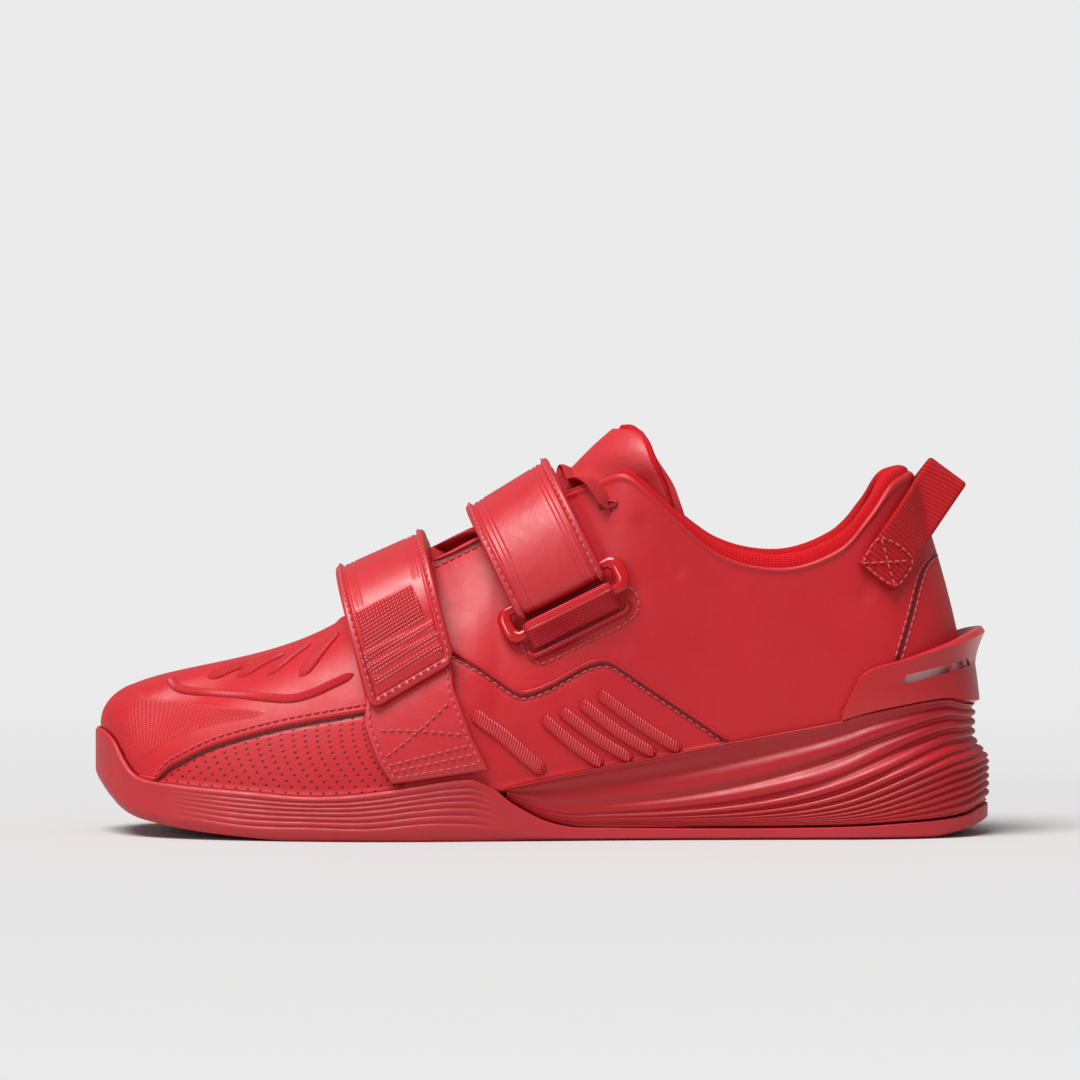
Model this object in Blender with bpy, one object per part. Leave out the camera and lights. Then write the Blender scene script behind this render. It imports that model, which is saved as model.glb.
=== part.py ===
# Weightlifting shoe, left foot, standing empty on its sole.
# Metres, +Z up. The toe points to -X, the outer side of the foot faces -Y, and the
# origin lies on the flat underside at half the sole's length.
import math

import bmesh
import bpy
from mathutils import Vector
from mathutils.bvhtree import BVHTree

# Driving sizes
LENGTH = 0.295
BALL_WIDTH = 0.103
SOLE_HEIGHT = 0.0446
COLLAR_HEIGHT = 0.1188
WALL = 0.0022
COLLAR_PADDING = 0.0045
GAP = 0.0003
LIP = 0.0016
CUP_SLOPE = 0.0022
FLANGE = 0.009
RIB_DEPTH = 0.0011
HEEL_FLARE = 0.0046
INSOLE_THICKNESS = 0.0040
TONGUE_THICKNESS = 0.0050
PANEL_DEPTH = 0.0008
STRAP_WIDTH = 0.0315
STRAP_THICKNESS = 0.0020
STRAP_LAYER_GAP = 0.0006
RING_BAR = 0.0026
RING_OPENING = 0.0062
RING_OVERHANG = 0.0036
RING_CORNER = 0.0030
WEBBING_THICKNESS = 0.0011
RIM_BAR = 0.0017
RIM_OVERHANG = 0.0022
CLIP_THICKNESS = 0.0019
LOOP_WIDTH = 0.0150
LOOP_THICKNESS = 0.0013
LOOP_FOLD = 0.0020
LACE_WIDTH = 0.0060
LACE_THICKNESS = 0.0011
LACE_RISE = 0.0019
SOLE_BEVEL = 0.0034

AROUND = 60
DIAGONAL_SHARES = (0.425, 0.463, 0.4815, 0.525)
MIDSOLE_START = DIAGONAL_SHARES[1]

# Sole outline seen from above. Shares of LENGTH from the toe, and of BALL_WIDTH.
PLAN = [
    # share, centre, half_width
    (0.020, 0.070, 0.214),
    (0.050, 0.058, 0.320),
    (0.100, 0.044, 0.408),
    (0.180, 0.024, 0.471),
    (0.270, 0.005, 0.500),
    (0.360, -0.012, 0.490),
    (0.460, -0.027, 0.442),
    (0.560, -0.032, 0.398),
    (0.660, -0.024, 0.379),
    (0.760, -0.013, 0.377),
    (0.860, -0.005, 0.374),
    (0.930, 0.000, 0.330),
    (0.975, 0.000, 0.233),
]

# Heights of the sole. Shares of LENGTH from the toe, and of SOLE_HEIGHT.
TOP_EDGE = [
    # share, height of the edge that the upper stands in
    (0.000, 0.767),
    (0.009, 0.758),
    (0.023, 0.682),
    (0.035, 0.550),
    (0.045, 0.470),
    (0.057, 0.430),
    (0.091, 0.399),
    (0.178, 0.354),
    (0.241, 0.325),
    (0.286, 0.334),
    (0.324, 0.363),
    (0.364, 0.404),
    (0.409, 0.448),
    (0.425, 0.451),
    (0.438, 0.420),
    (0.451, 0.375),
    (0.475, 0.400),
    (0.509, 0.451),
    (0.572, 0.534),
    (0.640, 0.614),
    (0.708, 0.704),
    (0.761, 0.769),
    (0.827, 0.852),
    (0.866, 0.917),
    (0.902, 0.962),
    (0.937, 0.995),
    (0.962, 1.000),
    (0.984, 0.965),
    (1.000, 0.950),
]
RIM_EDGE = [
    # share, height of the outsole's own edge behind the forefoot
    (0.409, 0.448),
    (0.425, 0.451),
    (0.437, 0.422),
    (0.451, 0.370),
    (0.466, 0.289),
    (0.485, 0.212),
    (0.507, 0.141),
    (0.534, 0.098),
    (0.570, 0.090),
    (0.840, 0.090),
    (0.900, 0.112),
    (0.949, 0.135),
    (0.973, 0.160),
    (0.990, 0.205),
    (1.000, 0.220),
]
GROUND = [
    # share, height of the underside over the floor
    (0.000, 0.370),
    (0.020, 0.247),
    (0.040, 0.160),
    (0.074, 0.103),
    (0.107, 0.067),
    (0.158, 0.030),
    (0.222, 0.000),
    (0.300, 0.000),
    (0.900, 0.000),
    (0.935, 0.000),
    (0.962, 0.030),
    (0.980, 0.055),
    (1.000, 0.095),
]
BED = [
    # share, height of the bed under the insole
    (0.000, 0.430),
    (0.050, 0.370),
    (0.100, 0.310),
    (0.180, 0.258),
    (0.270, 0.238),
    (0.360, 0.251),
    (0.460, 0.314),
    (0.560, 0.415),
    (0.660, 0.525),
    (0.760, 0.623),
    (0.860, 0.679),
    (0.940, 0.695),
    (1.000, 0.700),
]
PLATE = [
    # share, height of the outsole's plate under the midsole
    (0.449, 0.307),
    (0.463, 0.245),
    (0.485, 0.184),
    (0.507, 0.130),
    (0.534, 0.090),
    (0.570, 0.085),
    (0.930, 0.085),
    (0.965, 0.105),
    (1.000, 0.170),
]

# Wall of the midsole. Shares of LENGTH, then depths in metres.
MIDSOLE_WALL = [
    # share, recess under the edge, share of HEEL_FLARE
    (0.452, 0.0016, 0.00),
    (0.510, 0.0024, 0.00),
    (0.570, 0.0030, 0.00),
    (0.640, 0.0028, 0.05),
    (0.720, 0.0019, 0.18),
    (0.800, 0.0010, 0.36),
    (0.870, 0.0005, 0.55),
    (0.930, 0.0003, 0.80),
    (1.000, 0.0002, 1.00),
]
# Heights of the wave ribs at the back of the heel, from the rim up.
WAVES = (0.10, 0.22, 0.32, 0.40, 0.47, 0.56, 0.76, 0.88)
WAVE_SWEEP = [
    # share, power that sweeps the ribs down towards the rim
    (0.452, 5.5),
    (0.600, 4.6),
    (0.700, 3.2),
    (0.800, 2.0),
    (0.900, 1.3),
    (1.000, 1.0),
]
FOREFOOT_GROOVES = (0.36, 0.52, 0.68, 0.82)

# Ribs of the upper, from the sole's edge to the edge of collar and throat.
# Shares of LENGTH, BALL_WIDTH and COLLAR_HEIGHT.
FORM = [
    # foot, edge, edge_half, edge_height, rise, bulge, reach, drop
    (0.000, 0.2850, 0.000, 0.602, 0.200, 0.010, 0.320, 0.185),
    (0.030, 0.2880, 0.039, 0.606, 0.200, 0.010, 0.310, 0.180),
    (0.100, 0.2970, 0.083, 0.623, 0.210, 0.012, 0.280, 0.160),
    (0.200, 0.3180, 0.117, 0.661, 0.220, 0.018, 0.220, 0.130),
    (0.300, 0.3520, 0.131, 0.715, 0.235, 0.020, 0.190, 0.110),
    (0.380, 0.4000, 0.136, 0.783, 0.260, 0.020, 0.155, 0.120),
    (0.460, 0.4600, 0.155, 0.863, 0.290, 0.020, 0.120, 0.140),
    (0.530, 0.5200, 0.200, 0.936, 0.280, 0.016, 0.090, 0.160),
    (0.575, 0.5650, 0.262, 0.983, 0.250, 0.014, 0.065, 0.170),
    (0.605, 0.5915, 0.301, 1.000, 0.220, 0.012, 0.050, 0.170),
    (0.635, 0.6150, 0.320, 0.960, 0.200, 0.010, 0.040, 0.160),
    (0.670, 0.6500, 0.328, 0.875, 0.170, 0.008, 0.030, 0.150),
    (0.710, 0.6950, 0.330, 0.783, 0.140, 0.006, 0.025, 0.130),
    (0.770, 0.7650, 0.326, 0.742, 0.120, 0.006, 0.022, 0.120),
    (0.830, 0.8280, 0.304, 0.791, 0.140, 0.010, 0.025, 0.140),
    (0.880, 0.8620, 0.270, 0.880, 0.170, 0.012, 0.030, 0.160),
    (0.930, 0.8870, 0.210, 0.964, 0.190, 0.006, 0.040, 0.180),
    (0.970, 0.9050, 0.125, 0.994, 0.200, -0.010, 0.060, 0.190),
    (1.000, 0.9135, 0.000, 1.000, 0.210, -0.020, 0.075, 0.190),
]
PADDED_FROM = 0.575


# Tables and curves
def blend(rows, x, column=1):
    """Value of a table column at x, on a smooth curve through its rows."""
    if x <= rows[0][0]:
        return rows[0][column]
    if x >= rows[-1][0]:
        return rows[-1][column]
    k = 0
    while rows[k + 1][0] < x:
        k += 1
    x0, y0 = rows[k][0], rows[k][column]
    x1, y1 = rows[k + 1][0], rows[k + 1][column]
    step = x1 - x0
    slope = (y1 - y0) / step
    before = slope
    after = slope
    if k > 0:
        before = (y0 - rows[k - 1][column]) / (x0 - rows[k - 1][0])
    if k + 2 < len(rows):
        after = (rows[k + 2][column] - y1) / (rows[k + 2][0] - x1)
    start = (before + slope) / 2
    end = (slope + after) / 2
    u = (x - x0) / step
    keep = (1 + 2 * u) * (1 - u) ** 2
    rest = u * u * (3 - 2 * u)
    lead = u * (1 - u) ** 2 * step
    tail = u * u * (u - 1) * step
    return keep * y0 + rest * y1 + lead * start + tail * end


def turn(share):
    """Half turn around the shoe, 0 at the toe and 1 at the heel, of a length share."""
    return math.acos(max(-1.0, min(1.0, 1 - 2 * share))) / math.pi


def share_at(t):
    """Length share at t, where t runs 0 to 1 from the toe round the outer side and back."""
    return (1 - math.cos(2 * math.pi * t)) / 2


def mirrored(rows, odd):
    """Rows keyed by turn and carried past both ends, so that the curve closes smoothly."""
    keyed = [(turn(row[0]),) + tuple(row[1:]) for row in rows]
    sign = [-1 if c in odd else 1 for c in range(len(rows[0]))]
    head = [(-r[0],) + tuple(r[c] * sign[c] for c in range(1, len(r))) for r in keyed if r[0] > 0]
    tail = [(2 - r[0],) + tuple(r[c] * sign[c] for c in range(1, len(r))) for r in keyed if r[0] < 1]
    return head[::-1] + keyed + tail[::-1]


def stations():
    """Places around the shoe, even but for a few more where the outsole's edge drops."""
    extra = [turn(share) / 2 for share in DIAGONAL_SHARES]
    extra += [1 - t for t in extra]
    return sorted([i / AROUND for i in range(AROUND)] + extra)


STATIONS = stations()
PLAN_LOOP = mirrored([(0.0, 0.083, 0.0)] + PLAN + [(1.0, 0.0, 0.0)], odd=(2,))
FORM_LOOP = mirrored(FORM, odd=(2,))


def fold(t):
    """Turn at t and the side: -1 outer, +1 inner."""
    t = t % 1.0
    if t <= 0.5:
        return 2 * t, -1
    return 2 - 2 * t, 1


def outline(t):
    a, side = fold(t)
    share = share_at(t)
    y = blend(PLAN_LOOP, a, 1) + side * blend(PLAN_LOOP, a, 2)
    return Vector(((share - 0.5) * LENGTH, y * BALL_WIDTH, 0.0))


def outward(t):
    """Level direction out of the sole's outline at t."""
    along = outline(t + 0.004) - outline(t - 0.004)
    return Vector((along.y, -along.x, 0.0)).normalized()


def sole_point(t, inset, height):
    point = outline(t) - outward(t) * inset
    point.z = height
    return point


def laid_point(t, inset, surface, lift=0.0):
    """Point inside the outline on a surface whose height follows the length share."""
    point = outline(t) - outward(t) * inset
    point.z = surface(point.x / LENGTH + 0.5) + lift
    return point


# Heights
def top_edge(share):
    return blend(TOP_EDGE, share) * SOLE_HEIGHT


def rim_edge(share):
    if share <= RIM_EDGE[0][0]:
        return top_edge(share)
    return blend(RIM_EDGE, share) * SOLE_HEIGHT


def ground(share):
    return max(0.0, blend(GROUND, share)) * SOLE_HEIGHT


def bed(share):
    return blend(BED, share) * SOLE_HEIGHT


def plate(share):
    if share <= PLATE[0][0]:
        return bed(share)
    return blend(PLATE, share) * SOLE_HEIGHT


def edge_inset(share):
    """How far the sole's upper edge is set in from its outline."""
    return blend(MIDSOLE_WALL, share, 2) * HEEL_FLARE


# The upper's own function
def form_point(t, v, out=0.0):
    """Point of the upper's outer surface: v is 0 at the sole's edge, 1 at the collar."""
    point = rib_point(t, v)
    if out == 0.0:
        return point
    return point + form_normal(t, v) * out


def rib_point(t, v):
    a, side = fold(t)
    share = share_at(t)
    edge, half, height, rise, bulge, reach, drop = [blend(FORM_LOOP, a, c) for c in range(1, 8)]
    way = outward(t)
    foot = sole_point(t, edge_inset(share) + LIP + GAP, top_edge(share))
    centre = blend(PLAN_LOOP, turn(edge), 1)
    top = Vector(((edge - 0.5) * LENGTH, (centre + side * half) * BALL_WIDTH, height * COLLAR_HEIGHT))
    low = foot + way * (bulge * BALL_WIDTH)
    low.z += rise * COLLAR_HEIGHT
    high = top + way * (reach * BALL_WIDTH)
    high.z -= drop * COLLAR_HEIGHT
    w = 1 - v
    return foot * w ** 3 + low * (3 * w * w * v) + high * (3 * w * v * v) + top * v ** 3


def form_normal(t, v):
    v = min(max(v, 0.004), 0.996)
    around = rib_point(t + 0.004, v) - rib_point(t - 0.004, v)
    up = rib_point(t, v + 0.004) - rib_point(t, v - 0.004)
    return around.cross(up).normalized()


def wall_at(t, v):
    share = share_at(t)
    padding = min(1.0, max(0.0, (share - PADDED_FROM) / 0.06)) * COLLAR_PADDING
    return WALL + padding * max(0.0, (v - 0.45) / 0.55) ** 1.5


# Mesh helpers
part = bpy.data.collections.new("weightlifting_shoe")
cutters = bpy.data.collections.new("cutters")


def clear_scene():
    for item in list(bpy.data.objects):
        bpy.data.objects.remove(item, do_unlink=True)
    bpy.context.scene.collection.children.link(part)
    bpy.context.scene.collection.children.link(cutters)


def material(name, colour, roughness):
    found = bpy.data.materials.get(name)
    if found:
        return found
    made = bpy.data.materials.new(name)
    made.use_nodes = True
    shader = made.node_tree.nodes["Principled BSDF"]
    shader.inputs["Base Color"].default_value = colour + (1.0,)
    shader.inputs["Roughness"].default_value = roughness
    shader.inputs["Metallic"].default_value = 0.0
    return made


def finish_mesh(name, bm, colour=(0.5, 0.03, 0.04), roughness=0.5, group=None):
    bmesh.ops.recalc_face_normals(bm, faces=bm.faces)
    mesh = bpy.data.meshes.new(name)
    bm.to_mesh(mesh)
    bm.free()
    made = bpy.data.objects.new(name, mesh)
    if group is cutters:
        made.hide_render = True
        made.display_type = "WIRE"
        cutters.objects.link(made)
    else:
        made.data.materials.append(material(name + "_finish", colour, roughness))
        mesh.shade_smooth()
        mesh.set_sharp_from_angle(angle=math.radians(40))
        part.objects.link(made)
    return made


def add_rings(bm, rings, closed):
    """Faces between rings of points, each ring closed on itself or open.

    Every patch is split from its higher corner at i to its lower corner at i + 1, so that
    two surfaces that lie against each other have their folds along the same lines.
    """
    made = [[bm.verts.new(p) for p in ring] for ring in rings]
    for lower, upper in zip(made, made[1:]):
        count = len(lower)
        for i in range(count if closed else count - 1):
            j = (i + 1) % count
            if upper[i].co.z > lower[i].co.z:
                bm.faces.new((lower[i], lower[j], upper[i]))
                bm.faces.new((lower[j], upper[j], upper[i]))
            else:
                bm.faces.new((lower[i], lower[j], upper[j]))
                bm.faces.new((lower[i], upper[j], upper[i]))
    return made


def close_across(bm, ring, closed):
    """Strips across the shoe between the outer and the inner side of one ring."""
    count = len(ring)
    if closed:
        pairs = [(i, (count - i) % count) for i in range(count // 2 + 1)]
    else:
        pairs = [(i, count - 1 - i) for i in range((count + 1) // 2)]
    for (a, b), (c, d) in zip(pairs, pairs[1:]):
        corner = []
        for k in (a, b, d, c):
            if ring[k] not in corner:
                corner.append(ring[k])
        if len(corner) > 2:
            bm.faces.new(corner)


def ring_body(name, rings, closed=True, **look):
    """Solid of rings stacked up from its underside, closed across at both ends."""
    bm = bmesh.new()
    made = add_rings(bm, rings, closed)
    close_across(bm, made[0], closed)
    close_across(bm, made[-1], closed)
    if not closed:
        front = [ring[0] for ring in made] + [ring[-1] for ring in reversed(made)]
        bm.faces.new(front)
    return finish_mesh(name, bm, **look)


def shell(name, low, top, group=None, **look):
    """Closed solid between two grids of points that have the same rows and columns."""
    bm = bmesh.new()
    upper = [[bm.verts.new(p) for p in line] for line in top]
    under = [[bm.verts.new(p) for p in line] for line in low]
    columns = len(top[0])
    for k in range(len(top) - 1):
        for j in range(columns - 1):
            bm.faces.new((upper[k][j], upper[k][j + 1], upper[k + 1][j + 1], upper[k + 1][j]))
            bm.faces.new((under[k][j], under[k + 1][j], under[k + 1][j + 1], under[k][j + 1]))
        bm.faces.new((upper[k][0], upper[k + 1][0], under[k + 1][0], under[k][0]))
        bm.faces.new((upper[k][-1], under[k][-1], under[k + 1][-1], upper[k + 1][-1]))
    for k in (0, -1):
        for j in range(columns - 1):
            bm.faces.new((upper[k][j], upper[k][j + 1], under[k][j + 1], under[k][j]))
    return finish_mesh(name, bm, group=group, **look)


def grid_normals(grid):
    rows = len(grid)
    columns = len(grid[0])
    normals = []
    for k in range(rows):
        line = []
        for j in range(columns):
            along = grid[min(k + 1, rows - 1)][j] - grid[max(k - 1, 0)][j]
            over = grid[k][min(j + 1, columns - 1)] - grid[k][max(j - 1, 0)]
            line.append(along.cross(over).normalized())
        normals.append(line)
    return normals


def offset_grid(grid, normals, distance, edge=1.0):
    """Grid moved along its normals, less at its two long edges."""
    last = len(grid[0]) - 1
    moved = []
    for points, ways in zip(grid, normals):
        shares = [edge if j in (0, last) else 1.0 for j in range(last + 1)]
        moved.append([p + w * (distance * share) for p, w, share in zip(points, ways, shares)])
    return moved


def slab(name, grid, thickness, group=None, **look):
    """Closed sheet of even thickness about a grid of points, rounded at its long edges."""
    normals = grid_normals(grid)
    low = offset_grid(grid, normals, -thickness / 2, 0.72)
    top = offset_grid(grid, normals, thickness / 2, 0.72)
    return shell(name, low, top, group=group, **look)


def rod(name, points, thickness, cyclic=True, **look):
    """Round bar through the points, as a mesh: a closed loop, or with two flat ends."""
    curve = bpy.data.curves.new(name, "CURVE")
    curve.dimensions = "3D"
    curve.bevel_depth = thickness / 2
    curve.bevel_resolution = 1
    spline = curve.splines.new("POLY")
    spline.points.add(len(points) - 1)
    for knot, point in zip(spline.points, points):
        knot.co = (*point, 1.0)
    spline.use_cyclic_u = cyclic
    curve.use_fill_caps = not cyclic
    bar = bpy.data.objects.new(name + "_path", curve)
    part.objects.link(bar)
    mesh = bpy.data.meshes.new_from_object(bar.evaluated_get(bpy.context.evaluated_depsgraph_get()))
    bpy.data.objects.remove(bar, do_unlink=True)
    bm = bmesh.new()
    bm.from_mesh(mesh)
    bmesh.ops.remove_doubles(bm, verts=bm.verts, dist=0.00001)
    return finish_mesh(name, bm, **look)


def prism(name, corners, near, far):
    """Cutter with a side-view outline of (x, z) corners, running across the shoe."""
    bm = bmesh.new()
    front = [bm.verts.new((x, near, z)) for x, z in corners]
    back = [bm.verts.new((x, far, z)) for x, z in corners]
    bm.faces.new(front)
    bm.faces.new(list(reversed(back)))
    for i in range(len(corners)):
        j = (i + 1) % len(corners)
        bm.faces.new((front[i], back[i], back[j], front[j]))
    return finish_mesh(name, bm, group=cutters)


def boolean(target, tool, operation):
    cut = target.modifiers.new(operation.lower() + "_" + tool.name, "BOOLEAN")
    cut.operation = operation
    cut.solver = "EXACT"
    cut.object = tool


def side_view(share, height):
    """Side-view place from a length share and a share of COLLAR_HEIGHT."""
    return ((share - 0.5) * LENGTH, height * COLLAR_HEIGHT)


# Outsole
def groove_fade(share):
    return max(0.0, min(1.0, (share - 0.10) / 0.12)) * max(0.0, min(1.0, (0.46 - share) / 0.05))


def outsole_ring(u, inset, groove=0.0):
    ring = []
    for t in STATIONS:
        share = share_at(t)
        low = ground(share)
        height = low + u * (rim_edge(share) - low)
        ring.append(sole_point(t, inset + groove * groove_fade(share), height))
    return ring


def make_outsole():
    rings = [outsole_ring(0.0, SOLE_BEVEL), outsole_ring(0.10, SOLE_BEVEL * 0.35)]
    rings.append(outsole_ring(0.24, SOLE_BEVEL * 0.09))
    for level in FOREFOOT_GROOVES:
        rings.append(outsole_ring(level - 0.07, 0.0))
        rings.append(outsole_ring(level, 0.0, RIB_DEPTH * 0.6))
    rings.append(outsole_ring(0.93, 0.0))
    rings.append(outsole_ring(1.0, 0.0004))
    rings.append(outsole_ring(1.0, LIP))
    rings.append([laid_point(t, LIP + CUP_SLOPE, plate) for t in STATIONS])
    return ring_body("outsole", rings, colour=(0.36, 0.025, 0.035), roughness=0.55)


# Midsole
def midsole_stations():
    start = turn(MIDSOLE_START) / 2
    return [t for t in STATIONS if start - 0.0001 < t < 1.0001 - start]


def midsole_depth(share, u, wave):
    """Inset of the midsole's wall at relative height u; wave is -1 in a groove, 1 on a rib."""
    recess = blend(MIDSOLE_WALL, share, 1)
    flare = blend(MIDSOLE_WALL, share, 2) * HEEL_FLARE
    rise = min(1.0, max(0.0, (u - 0.42) / 0.26))
    rise = rise * rise * (3 - 2 * rise)
    lift = max(0.0, (u - 0.80) / 0.20) ** 2
    strength = min(1.0, max(0.25, (share - 0.50) / 0.25))
    return recess * (1 - lift) + flare * rise - wave * strength * RIB_DEPTH / 2


def midsole_ring(stations, level, wave):
    ring = []
    for t in stations:
        share = share_at(t)
        low = rim_edge(share) + 3 * GAP
        u = 0.7 * level ** blend(WAVE_SWEEP, share) + 0.3 * level
        height = low + u * (top_edge(share) - low)
        depth = midsole_depth(share, u, wave)
        ring.append(sole_point(t, depth, height))
    return ring


def make_midsole():
    stations = midsole_stations()
    base = [laid_point(t, LIP + CUP_SLOPE + GAP, plate, GAP) for t in stations]
    ledge = [sole_point(t, LIP + GAP, rim_edge(share_at(t)) + GAP) for t in stations]
    rings = [base, ledge, midsole_ring(stations, 0.0, -1)]
    before = 0.0
    for level in WAVES:
        rings.append(midsole_ring(stations, (before + level) / 2, -1))
        rings.append(midsole_ring(stations, level, 1))
        before = level
    rings.append(midsole_ring(stations, 0.95, -1))
    rings.append(midsole_ring(stations, 1.0, 0))
    top = []
    floor = []
    for t in stations:
        share = share_at(t)
        inset = edge_inset(share) + LIP
        top.append(sole_point(t, inset, top_edge(share)))
        floor.append(laid_point(t, inset + CUP_SLOPE, bed))
    rings += [top, floor]
    return ring_body("midsole", rings, closed=False, colour=(0.42, 0.02, 0.035), roughness=0.45)


# Upper
OUTER_LEVELS = (0.0, 0.09, 0.18, 0.28, 0.39, 0.50, 0.61, 0.72, 0.83, 0.92, 1.0)
INNER_LEVELS = (0.94, 0.74, 0.52, 0.30, 0.08)


def base_ring(inset, height):
    ring = []
    for t in STATIONS:
        share = share_at(t)
        depth = edge_inset(share) + LIP + CUP_SLOPE + GAP + inset
        ring.append(laid_point(t, depth, bed, GAP + height))
    return ring


def form_ring(v, depth):
    """Ring at level v, depth times the wall's thickness inside the outer surface."""
    ring = []
    for t in STATIONS:
        ring.append(form_point(t, v, -depth * wall_at(t, v)))
    return ring


# Panels where the upper's wall steps in, below the seams of vamp and quarter, and the
# moulded bars that stand in the quarter's panel. Side-view outlines, as shares of LENGTH
# and COLLAR_HEIGHT.
PANELS = {
    "vamp": (
        (0.084, 0.108), (0.074, 0.155), (0.086, 0.194), (0.105, 0.222), (0.130, 0.253),
        (0.154, 0.275), (0.202, 0.308), (0.250, 0.333), (0.325, 0.364), (0.353, 0.108),
    ),
    "quarter": (
        (0.420, 0.300), (0.410, 0.480), (0.432, 0.470), (0.470, 0.411), (0.486, 0.403),
        (0.511, 0.425), (0.550, 0.478), (0.564, 0.489), (0.586, 0.472), (0.630, 0.397),
        (0.682, 0.311), (0.705, 0.240), (0.560, 0.130), (0.455, 0.120),
    ),
}
BARS = (
    # upper end, lower end, half of the width along the sole
    ((0.501, 0.338), (0.569, 0.190), 0.0085),
    ((0.522, 0.357), (0.600, 0.205), 0.0080),
    ((0.543, 0.379), (0.625, 0.222), 0.0075),
    ((0.564, 0.402), (0.652, 0.230), 0.0070),
)
PANEL_LEVELS = (0.03, 0.09, 0.18, 0.28, 0.39, 0.50, 0.61)
PANEL_TURNS = (0.07, 0.36)


def sink_panel(upper, name, corners, side):
    """Takes PANEL_DEPTH off the wall inside a side-view outline, on one side of the foot."""
    first, last = PANEL_TURNS
    turns = [t for t in STATIONS if first < t < last]
    if side > 0:
        turns = [t for t in STATIONS if first < 1 - t < last]
    low = [[form_point(t, v, -PANEL_DEPTH) for v in PANEL_LEVELS] for t in turns]
    top = [[form_point(t, v, 2 * PANEL_DEPTH) for v in PANEL_LEVELS] for t in turns]
    label = "%s_%s" % (name, "outer" if side < 0 else "inner")
    skin = shell(label, low, top, group=cutters)
    places = [side_view(*corner) for corner in corners]
    boolean(skin, prism(label + "_outline", places, 0.0, side * BALL_WIDTH), "INTERSECT")
    if name == "quarter":
        for n, (high_end, low_end, half) in enumerate(BARS):
            ends = [side_view(*high_end), side_view(*low_end)]
            width = half * LENGTH
            bar = [(ends[0][0] - width, ends[0][1]), (ends[0][0] + width, ends[0][1]),
                   (ends[1][0] + width, ends[1][1]), (ends[1][0] - width, ends[1][1])]
            cut = prism("%s_bar_%d" % (label, n), bar, 0.0, side * BALL_WIDTH)
            boolean(skin, cut, "DIFFERENCE")
    boolean(upper, skin, "DIFFERENCE")


def make_upper():
    rings = [base_ring(FLANGE, 0.0), base_ring(0.0, 0.0)]
    rings += [form_ring(v, 0.0) for v in OUTER_LEVELS]
    roll = form_ring(1.0, 0.5)
    for t, point in zip(STATIONS, roll):
        point.z += 0.35 * wall_at(t, 1.0)
    rings.append(roll)
    rings.append(form_ring(1.0, 1.0))
    rings += [form_ring(v, 1.0) for v in INNER_LEVELS]
    rings += [base_ring(WALL, WALL), base_ring(FLANGE, WALL)]
    bm = bmesh.new()
    made = add_rings(bm, rings, True)
    first, last = made[0], made[-1]
    for i in range(len(first)):
        j = (i + 1) % len(first)
        bm.faces.new((last[i], last[j], first[j], first[i]))
    upper = finish_mesh("upper", bm, colour=(0.46, 0.03, 0.04), roughness=0.48)
    for name, corners in PANELS.items():
        for side in (-1, 1):
            sink_panel(upper, name, corners, side)


# Insole
def make_insole():
    low = base_ring(WALL + 2 * GAP, WALL + GAP)
    high = base_ring(WALL + 2 * GAP, WALL + GAP + INSOLE_THICKNESS * 0.8)
    crown = base_ring(WALL + 0.0016, WALL + GAP + INSOLE_THICKNESS)
    return ring_body("insole", [low, high, crown], colour=(0.30, 0.02, 0.03), roughness=0.8)


# Tongue. Shares of LENGTH, COLLAR_HEIGHT and BALL_WIDTH.
TONGUE = [
    # centre, height, half_width, edge_back, edge_drop
    (0.272, 0.536, 0.190, 0.004, 0.045),
    (0.310, 0.586, 0.225, 0.012, 0.072),
    (0.360, 0.672, 0.230, 0.022, 0.085),
    (0.409, 0.765, 0.235, 0.034, 0.100),
    (0.460, 0.842, 0.235, 0.050, 0.100),
    (0.505, 0.930, 0.235, 0.070, 0.085),
    (0.540, 1.018, 0.235, 0.080, 0.045),
    (0.566, 1.083, 0.225, 0.060, 0.020),
    (0.583, 1.120, 0.165, 0.034, 0.008),
    (0.592, 1.140, 0.085, 0.014, 0.003),
]
TONGUE_COLUMNS = (-1.0, -0.82, -0.58, -0.3, 0.0, 0.3, 0.58, 0.82, 1.0)


def tongue_point(row, across, lower=0.0):
    centre, height, half, back, drop = row
    share = centre + back * abs(across) ** 2.2
    middle = blend(PLAN_LOOP, turn(min(share, 0.62)), 1)
    y = (middle + across * half) * BALL_WIDTH
    z = (height - drop * abs(across) ** 2.0) * COLLAR_HEIGHT - lower
    return Vector(((share - 0.5) * LENGTH, y, z))


def make_tongue():
    grid = [[tongue_point(row, c, TONGUE_THICKNESS / 2) for c in TONGUE_COLUMNS] for row in TONGUE]
    return slab("tongue", grid, TONGUE_THICKNESS, colour=(0.50, 0.03, 0.04), roughness=0.5)


# Straps. Each goes up from its stitched base, over the instep, through its ring and back.
# Side-view places are shares of LENGTH and COLLAR_HEIGHT; tilts are in degrees.
STRAPS = {
    "front": {
        "ring_side": 1,
        "top": (0.3229, 0.765),
        "ring_foot": (0.3440, 0.500),
        "free_foot": (0.3440, 0.421),
        "base": ((0.3553, 0.366), (0.3732, 0.250), (0.3900, 0.176)),
        "free_end": 0.0050,
        "tilt_top": 24.0,
        "tilt_side": 15.5,
        "tilt_base": 8.0,
        "webbing": (0.006, -0.044),
    },
    "rear": {
        "ring_side": -1,
        "top": (0.4655, 0.950),
        "ring_foot": (0.5180, 0.690),
        "free_foot": (0.5180, 0.610),
        "base": ((0.5290, 0.520), (0.5420, 0.400), (0.5540, 0.270)),
        "free_end": 0.0120,
        "tilt_top": 31.5,
        "tilt_side": 26.5,
        "tilt_base": 12.0,
        "webbing": (0.009, -0.041),
    },
}
ARCH_POWER = 0.78
ARCH_STEPS = 9
STRAP_COLUMNS = (-1.0, 0.0, 1.0)


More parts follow.
